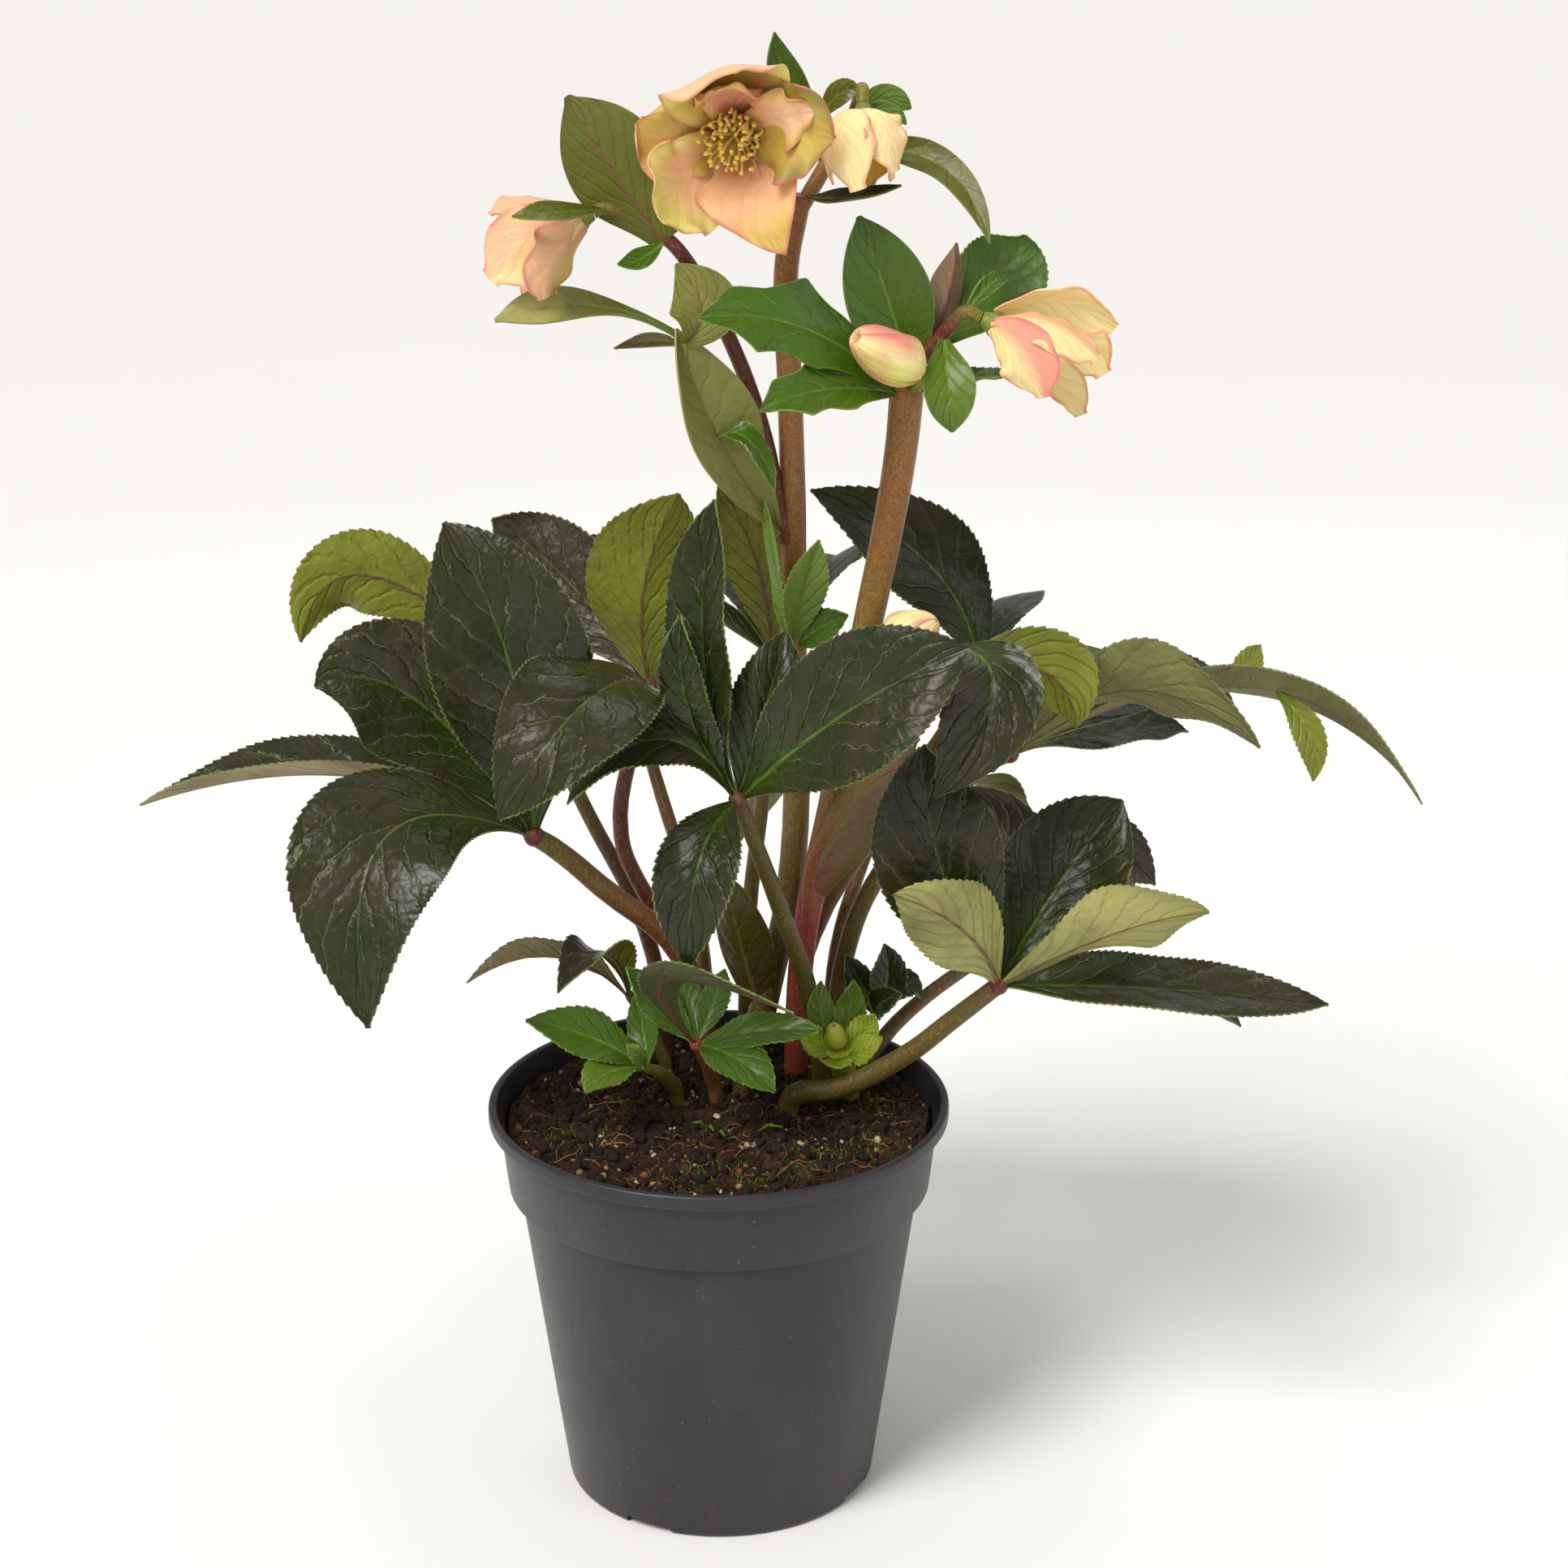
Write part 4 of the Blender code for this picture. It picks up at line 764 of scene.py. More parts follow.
@dataclass(frozen=True)
class Blade:
    """A leaflet, bract or tepal.

    Its midrib is a curve from its base through its middle to its tip, and its upper side looks toward its
    face. The hues are those of its upper and under sides, of its heart near the base, of the lobe on one
    side, of its end and of its rim, where it has them. shift moves it and grow widens it from the place
    and width that its solid has.
    """

    middle: Point
    tip: Point
    width: float
    face: Point = TOWARD_VIEW
    base: Point = None
    fold: float = 0.22
    wave: float = 1.2
    outline: Outline = LEAF
    upper: Hue = Hue.OLD
    under: Hue = Hue.OLIVE
    heart: Hue = Hue.FRESH
    flush: float = 0.0
    lobe: Hue = None
    end: Hue = None
    rim: Hue = None
    roll: float = 0.0
    shift: Point = (0, 0, 0)
    grow: float = 1.0
    cut: Cut = OLD_CUT

    NECK_OUT = 1.1
    THICKNESS = 0.5
    PITCH = 2.2
    TOOTH_STEPS = (0.0, 0.3, 0.6, 0.9)
    TOOTH_MEAN = 0.4
    TOOTHED_FROM = 0.16
    TOOTHED_TO = 0.985
    LEAST_ROWS = 8
    LEAST_TEETH = 6
    FOLD_POWER = 1.4
    WAVES = 1.6
    WAVE_SKEW = 0.25
    LOBES = 3.2
    SCALLOPS = 15.0
    VEIN_SLOPE = 0.84
    GROOVE_HALF = 0.9
    RUFFLES = 5.1
    SMALL_RUFFLES = 13.0
    FRILLS = 19.0
    LEAST_SPREAD = 0.4

    def rows(self, length: float) -> tuple[Rows, Rows]:
        """The places of the cross rows along the blade, and each row's tooth, 0 to 1."""
        if not self.cut.tooth:
            count = max(self.LEAST_ROWS, round(length / self.cut.row))
            return np.linspace(0.0, 1.0, count + 1), np.zeros(count + 1)
        teeth = max(self.LEAST_TEETH, round(length / self.PITCH))
        steps = self.TOOTH_STEPS
        along = [(index + step) / teeth for index in range(teeth) for step in steps]
        tooth = [step / steps[-1] for _ in range(teeth) for step in steps]
        return np.array([*along, 1.0]), np.array([*tooth, 0.0])

    def grid(self, length: float) -> tuple[Piece, Rows, Rows, Rows]:
        """Add the flat grid that the blade is shaped from.

        Args:
            length: The midrib's length.

        Returns:
            The sheet, and its points' shares across, -1 to 1, shares along and teeth.
        """
        along_rows, tooth_rows = self.rows(length)
        half_columns = np.array(self.cut.columns)
        across_columns = np.concatenate([-half_columns[:0:-1], half_columns])
        columns, rows = len(across_columns) - 1, len(along_rows) - 1
        alone()
        bpy.ops.mesh.primitive_grid_add(x_subdivisions=columns, y_subdivisions=rows, size=2.0)
        sheet = active()
        cell = places_of(sheet.data)
        column = np.rint((cell[:, 0] + 1.0) * 0.5 * columns).astype(int)
        row = np.rint((cell[:, 1] + 1.0) * 0.5 * rows).astype(int)
        return sheet, across_columns[column], along_rows[row], tooth_rows[row]

    def midrib(self, start: Rows, middle: Rows, tip: Rows, along: Rows
               ) -> tuple[Rows, Rows, Rows]:
        """The curve through the three points, with the way to the side and the way up at each place.

        Args:
            start: The base.
            middle: The middle.
            tip: The tip.
            along: The shares along.

        Returns:
            The places on it, the ways to the side and the ways up.
        """
        control = 2.0 * middle - 0.5 * (start + tip)
        heading = unit(tip - start)
        face = np.array(self.face, float)
        normal = unit(face - face.dot(heading) * heading)
        t = along[:, None]
        spine = (1 - t) ** 2 * start + 2 * t * (1 - t) * control + t ** 2 * tip
        way = unit((1 - t) * (control - start) + t * (tip - control))
        turn = np.cross(heading, way)
        lean = way @ heading
        swung = np.cross(turn, normal)
        up = normal + swung + np.cross(turn, swung) / (1.0 + lean)[:, None]
        side = np.cross(way, up)
        roll = radians(self.roll)
        return spine, side * cos(roll) + up * sin(roll), up * cos(roll) - side * sin(roll)

    def half_width(self, across: Rows, along: Rows, tooth: Rows, seed: int) -> Rows:
        """The distance from the midrib to the margin beside each point, with scallops, lobes and teeth.

        Args:
            across: The shares across.
            along: The shares along.
            tooth: The teeth.
            seed: What sets this blade's waves apart.

        Returns:
            The half widths.
        """
        cut, right = self.cut, np.sign(across)
        half = 0.5 * self.width * self.grow * self.outline.half(along)
        half = half * (1.0 + cut.scallop * np.sin(self.SCALLOPS * along + 2.6 * right + seed))
        lobes = np.abs((self.LOBES * along + 0.3 * right) % 1.0 * 2.0 - 1.0) ** 1.6 - 0.35
        half = half * (1.0 + cut.lobing * lobes * np.abs(across) * ramp(along, 4.0, -1.2))
        toothed = np.clip((along - self.TOOTHED_FROM) / 0.1, 0, 1) * (along < self.TOOTHED_TO)
        serrated = (np.abs(across) > 0.99) * toothed
        return half + serrated * cut.tooth * (tooth - self.TOOTH_MEAN) * np.minimum(1.0, half / 4.0)

    def vein_count(self, across: Rows, along: Rows, length: float, seed: int) -> Rows:
        """The number of side veins below each point, on slanting lines. It is whole on a vein."""
        slope = self.VEIN_SLOPE * self.width / max(length, 1.0)
        veins = self.cut.veins * (along - slope * np.abs(across) ** 0.85) + np.where(across < 0, 0.5, 0.0)
        return veins + 0.12 * np.sin(9.0 * along + seed)

    def lift(self, across: Rows, along: Rows, half: Rows, veins: Rows, seed: int
             ) -> Rows:
        """How far each point stands up from the flat: fold, waves, quilting, groove, ruffles and frill.

        Args:
            across: The shares across.
            along: The shares along.
            half: The half widths.
            veins: The numbers of side veins.
            seed: What sets this blade's waves apart.

        Returns:
            The lifts, in millimetres.
        """
        cut, far, right = self.cut, np.abs(across), np.sign(across)
        share = self.outline.half(along)
        ripple = self.wave * np.sin(2 * pi * (self.WAVES * along + self.WAVE_SKEW * across)) * share
        lift = self.fold * far ** self.FOLD_POWER * half + ripple * across ** 2
        pillow = np.abs(np.sin(pi * veins)) ** 0.6 * (1.0 - far ** 3) * np.minimum(1, far * 6)
        lift = lift + cut.quilt * (pillow - 0.5) * share
        lift = lift - cut.groove * np.exp(-(across * half / self.GROOVE_HALF) ** 2) * (1.0 - 0.6 * along)
        lift = lift + cut.ruffle * np.sin(self.RUFFLES * along + 2.3 * across + seed) * share * far
        small = np.sin(self.SMALL_RUFFLES * along + 2.0 * right + 2 * seed)
        lift = lift + 0.5 * cut.ruffle * small * across ** 2 * share
        frill = np.sin(self.FRILLS * along + 1.7 * seed + 2.0 * right)
        return lift + cut.frill * frill * across ** 4 * share

    def colours(self, across: Rows, along: Rows, below: Rows) -> Rows:
        """The colour of each point of both skins.

        Args:
            across: The shares across.
            along: The shares along.
            below: 1 on the under side, else 0.

        Returns:
            Rows of colour.
        """
        upper = np.tile(np.array(self.upper.value), (len(across), 1))
        under = np.tile(np.array(self.under.value), (len(across), 1))
        if self.lobe:
            upper = toward(upper, self.lobe, ramp(across, 2.0, 0.4))
            under = toward(under, self.lobe, ramp(across, 2.0, 0.4))
        if self.rim:
            upper = toward(upper, self.rim, ramp(np.abs(across), 2.2, -1.1))
        if self.end:
            upper = toward(upper, self.end, ramp(along, 2.8, -1.2))
        near = ramp(along, -2.6, 1.0) * ramp(np.abs(across), -0.8, 1.0) * self.cut.heart_share
        under = toward(under, self.heart, 0.5 * near)
        return np.where(below[:, None] > 0.5, under, toward(upper, self.heart, near))

    def build(self, hub: Point, seed: int) -> Piece:
        """Model the blade from a grid, give it thickness and write what its finish reads.

        Args:
            hub: Where the blade grows from, if it has no base of its own.
            seed: What sets this blade's waves apart.

        Returns:
            The blade as an object.
        """
        start = np.array(self.base or hub, float)
        middle, tip = np.array(self.middle, float) + self.shift, np.array(self.tip, float) + self.shift
        if self.base is None:
            start = start + unit(middle - start) * self.NECK_OUT
        length = float(np.linalg.norm(middle - start) + np.linalg.norm(tip - middle))
        sheet, across, along, tooth = self.grid(length)
        spine, side, up = self.midrib(start, middle, tip, along)
        half = self.half_width(across, along, tooth, seed)
        veins = self.vein_count(across, along, length, seed)
        lift = self.lift(across, along, half, veins, seed)
        points = spine + side * (across * half)[:, None] + up * lift[:, None]
        put(sheet.data, points * MM)

        apply_modifier(sheet, "SOLIDIFY", thickness=self.THICKNESS * MM, offset=0.0)
        count = len(points)
        skins = places_of(sheet.data) / MM
        first_is_upper = float(np.sum((skins[:count] - points) * up)) > 0.0
        second_skin = np.arange(len(skins)) >= count
        below = (second_skin == first_is_upper).astype(float)
        again = np.arange(len(skins)) % count
        spread = np.maximum(0.5 * self.width * self.grow * self.outline.half(along), self.LEAST_SPREAD)
        rib = np.stack([across * half, (1.0 - np.abs(across)) * spread, along], axis=1)[again]
        note(sheet.data, "rib", rib)
        note(sheet.data, "growth", np.stack([veins[again], below, np.full(len(skins), self.flush)], axis=1))
        painted(sheet.data, self.colours(across[again], along[again], below))
        return dressed(sheet, self.cut.finish)


@dataclass(frozen=True)
class Stalk:
    """A stem, petiole or pedicel: the points on its line, its radius at the two ends and its colours."""

    points: tuple[Point, ...]
    start_radius: float
    end_radius: float
    hues: tuple[Hue, ...] = (Hue.MOSS_STEM,)
    knob: bool = True

    SIDES_LEVEL = 4
    STEPS = 5
    KNOB_SHARE = 0.7
    ABOVE_SOIL = 2.0
    STATIONS = 120

    def build(self, root: tuple[float, float] = None, root_radius: float = 0.0) -> Piece:
        """Model the stalk as a smooth bevelled curve, made a mesh.

        Args:
            root: Where it stands in the soil, if it does.
            root_radius: Its radius there.

        Returns:
            The stalk as an object.
        """
        line = [np.array(point, float) for point in self.points]
        radii = list(np.linspace(self.start_radius, self.end_radius, len(line)))
        if self.knob:
            line.append(line[-1] + unit(line[-1] - line[-2]) * self.end_radius)
            radii.append(self.KNOB_SHARE * self.end_radius)
        if root is not None:
            foot = np.array((*root, Soil.TOP - Soil.ROOT_DEPTH))
            line = [foot, np.array((*root, Soil.TOP + self.ABOVE_SOIL)), *line]
            radii = [root_radius, root_radius, *radii]
        alone()
        bpy.ops.curve.primitive_bezier_curve_add()
        rod = active()
        curve = rod.data
        spline = curve.splines[0]
        spline.bezier_points.add(len(line) - 2)
        for place, point, radius in zip(spline.bezier_points, line, radii):
            place.co = point * MM
            place.radius = radius
            place.handle_left_type = place.handle_right_type = "AUTO"
        curve.resolution_u = self.STEPS
        curve.bevel_depth = MM
        curve.bevel_resolution = self.SIDES_LEVEL
        curve.use_fill_caps = True
        bpy.ops.object.convert(target="MESH")
        clean(merge=True)
        stations = np.linspace(0.0, len(line) - 1.0, self.STATIONS)
        knots = [np.interp(stations, range(len(line)), np.array(line)[:, axis]) for axis in range(3)]
        painted(rod.data, blended(self.hues, nearest_share(rod, np.stack(knots, 1))))
        return dressed(rod, STEM)


def nearest_share(piece: Piece, knots: Rows) -> Rows:
    """How far along a line, 0 to 1, the knot lies that is nearest to each of a piece's points."""
    spots = places_of(piece.data) / MM
    nearest = np.argmin(np.linalg.norm(spots[:, None] - knots[None], axis=2), axis=1)
    return nearest / (len(knots) - 1.0)


@dataclass(frozen=True)
class Plant:
    """What grows as one piece: stalks and blades. A blade without a base starts at the hub."""

    name: str
    slot: str
    root: tuple[float, float]
    root_radius: float
    stalks: tuple[Stalk, ...]
    hub: Point = None
    blades: tuple[Blade, ...] = ()
    hub_hue: Hue = Hue.MAROON
    hub_radius: float = 0.0

    def build(self) -> Piece:
        """Model the stalks and blades and join them in place of the node."""
        pieces = [stalk.build(self.root if index == 0 else None, self.root_radius)
                  for index, stalk in enumerate(self.stalks)]
        for index, blade in enumerate(self.blades):
            pieces.append(blade.build(self.hub, index * 7 + len(self.name)))
        if self.hub_radius:
            pieces.append(ball(self.hub, self.hub_radius, self.hub_hue))
        return handed_over(join(pieces, self.name + "_fine"), self.slot, self.name)


def ball(centre: Point, radius: float, hue: Hue) -> Piece:
    """The small round swelling where leaflets meet their stalk."""
    alone()
    bpy.ops.mesh.primitive_uv_sphere_add(segments=16, ring_count=10, radius=radius * MM)
    swelling = active()
    put(swelling.data, places_of(swelling.data) + np.array(centre) * MM)
    painted(swelling.data, hue.value)
    return dressed(swelling, STEM)


def kind(maker: Callable[..., Blade], **usual: Any) -> Callable[..., Blade]:
    """A maker of blades like another's, with usual settings of its own.

    Args:
        maker: The other maker.
        **usual: The settings that this one gives it, except where a call says otherwise.

    Returns:
        The maker, which takes a middle, a tip, a width, a face and settings.
    """
    def make(middle: Point, tip: Point, width: float, face: Point = TOWARD_VIEW, **more: Any) -> Blade:
        """One blade of this kind."""
        return maker(middle, tip, width, face, **{**usual, **more})
    return make


leaf = kind(Blade)
lobed = kind(Blade, upper=Hue.FRESH, heart=Hue.GRASS, cut=LOBED_CUT)
slim = kind(Blade, outline=SLIM, wave=0.6, cut=YOUNG_CUT, upper=Hue.FRESH, under=Hue.LIGHT, heart=Hue.GRASS)
tiny = kind(slim, wave=0.3)
bract = kind(Blade, outline=BRACT, wave=0.5, cut=BRACT_CUT, upper=Hue.GRASS, heart=Hue.GRASS)
tepal = kind(Blade, outline=TEPAL, wave=0.8, fold=0.3, cut=TEPAL_CUT, upper=Hue.CREAM, under=Hue.CREAM,
             heart=Hue.GREEN_CREAM, flush=0.6)
blunt = kind(tepal, outline=BLUNT)
peachy = kind(tepal, upper=Hue.PEACH, under=Hue.PEACH, flush=0.55, heart=Hue.THROAT)
greenish = kind(tepal, upper=Hue.OLIVE_CREAM, under=Hue.PEACH, flush=0.4, heart=Hue.THROAT, cut=RUFFLED_CUT)


def fan(hub: Point, heading: float, spread: float, count: int, length: float, width: float, rise: float,
        drop: float) -> tuple[Blade, ...]:
    """The leaflets of a whole leaf round its heading. Those at the sides are shorter and lie lower.

    Args:
        hub: Where they meet.
        heading: The middle one's way, in degrees from +X towards +Y.
        spread: The angle between the outer ones.
        count: How many there are.
        length: The middle one's length.
        width: The width of each.
        rise: How far its middle lies above the hub.
        drop: How far the tips lie below the middles.

    Returns:
        The leaflets.
    """
    start = Vector(hub)
    blades = []
    for index in range(count):
        share = index / (count - 1) - 0.5
        turn = radians(heading + spread * share)
        reach = length * (1.0 - 0.5 * share * share)
        way = Vector((cos(turn), sin(turn), 0.0))
        lift = rise * (1.0 - 0.8 * abs(share))
        middle = start + way * reach * 0.52 + Vector((0, 0, lift))
        tip = start + way * reach + Vector((0, 0, lift - drop))
        face = way * 0.25 + Vector((0, 0, 1))
        blades.append(leaf(tuple(middle), tuple(tip), width, tuple(face)))
    return tuple(blades)


STEM_RIGHT = Plant(
    "stem_right", "stem", (22, 31), 3.6,
    (
        Stalk(((24, 28, 152), (26, 27, 165), (32, 24, 195), (41, 18, 247), (47, 14, 280), (50, 11, 302),
               (51, 10, 315)), 3.6, 4.6,
              (Hue.ROSE_STEM, Hue.ROSE_STEM, Hue.ROSE_STEM, Hue.OLIVE_STEM, Hue.OCHRE, Hue.OCHRE,
               Hue.OCHRE)),
        Stalk(((50, 10, 314), (53, 9, 322), (59, 8, 330), (63.5, 6, 335.5), (66.3, 4.6, 338.2),
               (70.0, 4.4, 336.6)), 2.2, 1.7, (Hue.RUSSET, Hue.MAROON, Hue.OLIVE), knob=False),
        Stalk(((50, 10, 314), (54, 5, 319), (54.9, 1.6, 322)), 1.8, 1.5, (Hue.MOSS_STEM, Hue.LIME),
              knob=False),
        Stalk(((39, 19, 238), (42, 13, 243), (45.0, 8.4, 245.4)), 1.8, 1.5, (Hue.MOSS_STEM, Hue.LIME),
              knob=False),
        Stalk(((25, 26, 156), (28, 20, 182), (40, 12, 203), (51, 6, 220), (62, -4, 238), (64, -10, 251)),
              2.4, 1.4, (Hue.ROSE_STEM, Hue.OLIVE_STEM, Hue.MOSS_STEM, Hue.MOSS_STEM)),
    ),
    (50, 9, 315),
    (
        bract((45, 9, 343), (38, 12, 362), 23, base=(52.2, 9.3, 320), fold=0.3, upper=Hue.FRESH),
        bract((62, 14, 341), (64, 18, 354), 10, (-0.3, 0.8, 0.2), base=(56, 8.5, 326), fold=0.6,
              under=Hue.TAUPE, flush=0.15),
        slim((76, 26, 343), (83, 31, 354), 24, (0, -0.9, 0.3), base=(57.1, 8.4, 327.4)),
        lobed((23, -6, 336), (-4, -10, 339), 20, (0, -0.8, 0.55)),
        lobed((30, -12, 321), (12, -20, 317), 15, (0, -0.75, 0.6)),
        tiny((29, 16, 332), (16, 19, 339), 5),
        slim((61.5, -4, 319.5), (62.5, -7, 308.5), 14, (0.1, -0.95, 0.1), base=(60.4, 7.4, 331.6),
             cut=SMALL_CUT, upper=Hue.GRASS),
        tiny((69, 12, 319), (78, 9, 320), 8, (0, -0.3, 0.9)),
        tiny((73, 13, 344), (78, 16, 346), 5, base=(65, 5.2, 336.9)),
        leaf((73, -28, 244), (58, -35, 217), 27, (0.1, -0.9, 0.4), base=(64, -10, 251), heart=Hue.GRASS),
        leaf((88, -6, 243), (97, -9, 228), 24, (0, 0.9, 0.2), base=(63, -7, 244.5)),
        bract((38, 10, 199), (55, 0, 222), 18, (-0.3, -0.9, 0.3), base=(25, 22, 170), outline=SHEATH,
              fold=-0.7, upper=Hue.OLIVE_STEM, lobe=Hue.TAUPE, rim=Hue.OLIVE_DARK, heart=Hue.ROSE_STEM,
              flush=0.3, grow=0.92),
    ),
)

STEM_CENTER = Plant(
    "stem_center", "stem", (10, 37), 4.2,
    (
        Stalk(((14, 37, 135), (20, 36, 164), (22, 34, 213), (21, 32, 243), (21, 30, 274), (20, 27, 313),
               (19, 24, 346), (22, 22, 363)), 4.0, 3.2,
              (Hue.MOSS_STEM, Hue.MOSS_STEM, Hue.OLIVE_STEM, Hue.OCHRE, Hue.OCHRE, Hue.RUSSET)),
        Stalk(((19, 29, 270), (17, 28, 280), (12, 26, 304), (2, 20, 332), (-6, 14, 348), (-13, 10, 357),
               (-21, 13, 361), (-28.8, 11.7, 364.2), (-31.5, 11.2, 363.0)), 2.4, 1.6,
              (Hue.RUSSET, Hue.MAROON, Hue.MAROON, Hue.OLIVE),
              knob=False),
        Stalk(((22, 22, 361), (17, 26, 369), (10, 27, 379), (6.9, 23.7, 382.0), (6.4, 19.8, 382.4)),
              2.2, 1.9, (Hue.OCHRE, Hue.LIME), knob=False),
        Stalk(((22, 22, 361), (30, 27, 374), (36.5, 28, 385), (38.5, 25.5, 391.5), (38.9, 18.6, 393.6),
               (39, 16, 390.5)), 2.2, 1.7, (Hue.OCHRE, Hue.OLIVE_STEM, Hue.OLIVE), knob=False),
    ),
    (22, 22, 363),
    (
        bract((4, 29, 156), (1, 27, 174), 13, (-0.3, -0.9, 0.2), base=(11, 36, 128), outline=SHEATH,
              fold=-0.5, upper=Hue.MOSS_STEM, heart=Hue.RUSSET, grow=1.25, shift=(1, -4, 0)),
        bract((-26, 9, 374.4), (-38, 14, 392.7), 29, (0.3, 0.9, 0.1), base=(-13, 9, 356),
              under=Hue.OLIVE_DARK, outline=ROUND, cut=SAGE_CUT),
        tiny((-19, 5, 352), (-25, 3, 351), 6, (0, -0.8, 0.5), base=(-13, 9, 356), cut=SMALL_CUT),
        tiny((-40, -8, 366), (-51, -11, 365.5), 6, (0.1, -0.6, 0.8), base=(-28, 11.9, 363.8),
             upper=Hue.OLIVE_DARK, cut=SMALL_CUT, grow=1.3),
        bract((20, 26, 392), (16, 24, 408), 11, (0.2, -0.9, 0.2), base=(30, 27, 374), upper=Hue.FRESH),
        slim((58, 20, 375), (72, 5, 356), 8, (0.5, -0.5, 0.8), base=(31, 27, 375.6), upper=Hue.OLIVE_DARK,
             cut=SMALL_CUT, grow=1.15, roll=-35.0),
        tiny((55, 24, 377), (64, 24, 374), 4, (0, -0.4, 0.9), base=(32, 27.5, 376), upper=Hue.OLIVE_DARK,
             cut=SMALL_CUT),
        tiny((36, 13, 366.8), (49, 9, 370.5), 7, (0, -0.45, 0.9), base=(24.5, 23, 365.5), upper=Hue.OLD,
             cut=SMALL_CUT, grow=1.1),
        tiny((45, 28, 390), (52, 27, 388), 9, (0, -0.8, 0.5), base=(37.2, 27.1, 387.5), upper=Hue.GRASS,
             cut=SMALL_CUT),
        tiny((46, 22, 388), (50.6, 21, 384.6), 4.5, (0, -0.8, 0.5), base=(40, 24, 389), upper=Hue.GRASS,
             cut=SMALL_CUT),
        tiny((33, 22, 392.5), (38.5, 20, 393), 7, (0, -0.8, 0.5), base=(28, 25, 385), upper=Hue.OLIVE_DARK,
             cut=SMALL_CUT, outline=ROUND),
        leaf((1, 12, 303), (-10, 8, 333), 18, (0.5, -0.75, 0.3), base=(18, 27, 273), fold=0.45,
             upper=Hue.DULL_GREEN, under=Hue.SAGE, heart=Hue.OLIVE_DARK, cut=SAGE_CUT, grow=1.3),
        leaf((-3, 7, 338), (-10, 9, 350), 16, (0.2, -0.9, 0.2), base=(-9, 8.6, 328), upper=Hue.DULL_GREEN,
             cut=SAGE_CUT, grow=1.15),
        tiny((-16, 13, 329), (-27, 17, 326), 4, base=(-8.6, 8.6, 328), upper=Hue.BROWN, cut=SMALL_CUT),
        tiny((-32, 3, 340), (-57, -2, 337), 7, (0, -0.3, 0.9), base=(-9.5, 8.4, 331), upper=Hue.OLIVE_DARK,
             end=Hue.SAGE, cut=SMALL_CUT, outline=SPOON, grow=1.5, roll=30.0),
        slim((9, 8, 303), (16, 4, 290), 9, (0.7, -0.6, 0.2), base=(0.6, 12.2, 303)),
        slim((17, 23, 259), (13, 20, 284), 6, (-0.6, -0.6, 0.2), base=(20.5, 30, 238), upper=Hue.LIGHT),
        slim((24, 21, 258), (28, 18, 273), 12, (0.3, -0.9, 0.2), base=(21, 30, 240), upper=Hue.LIGHT),
        slim((28, 25, 246), (36, 21, 251), 10, (0.2, -0.8, 0.5), base=(21.6, 30.5, 239)),
    ),
)

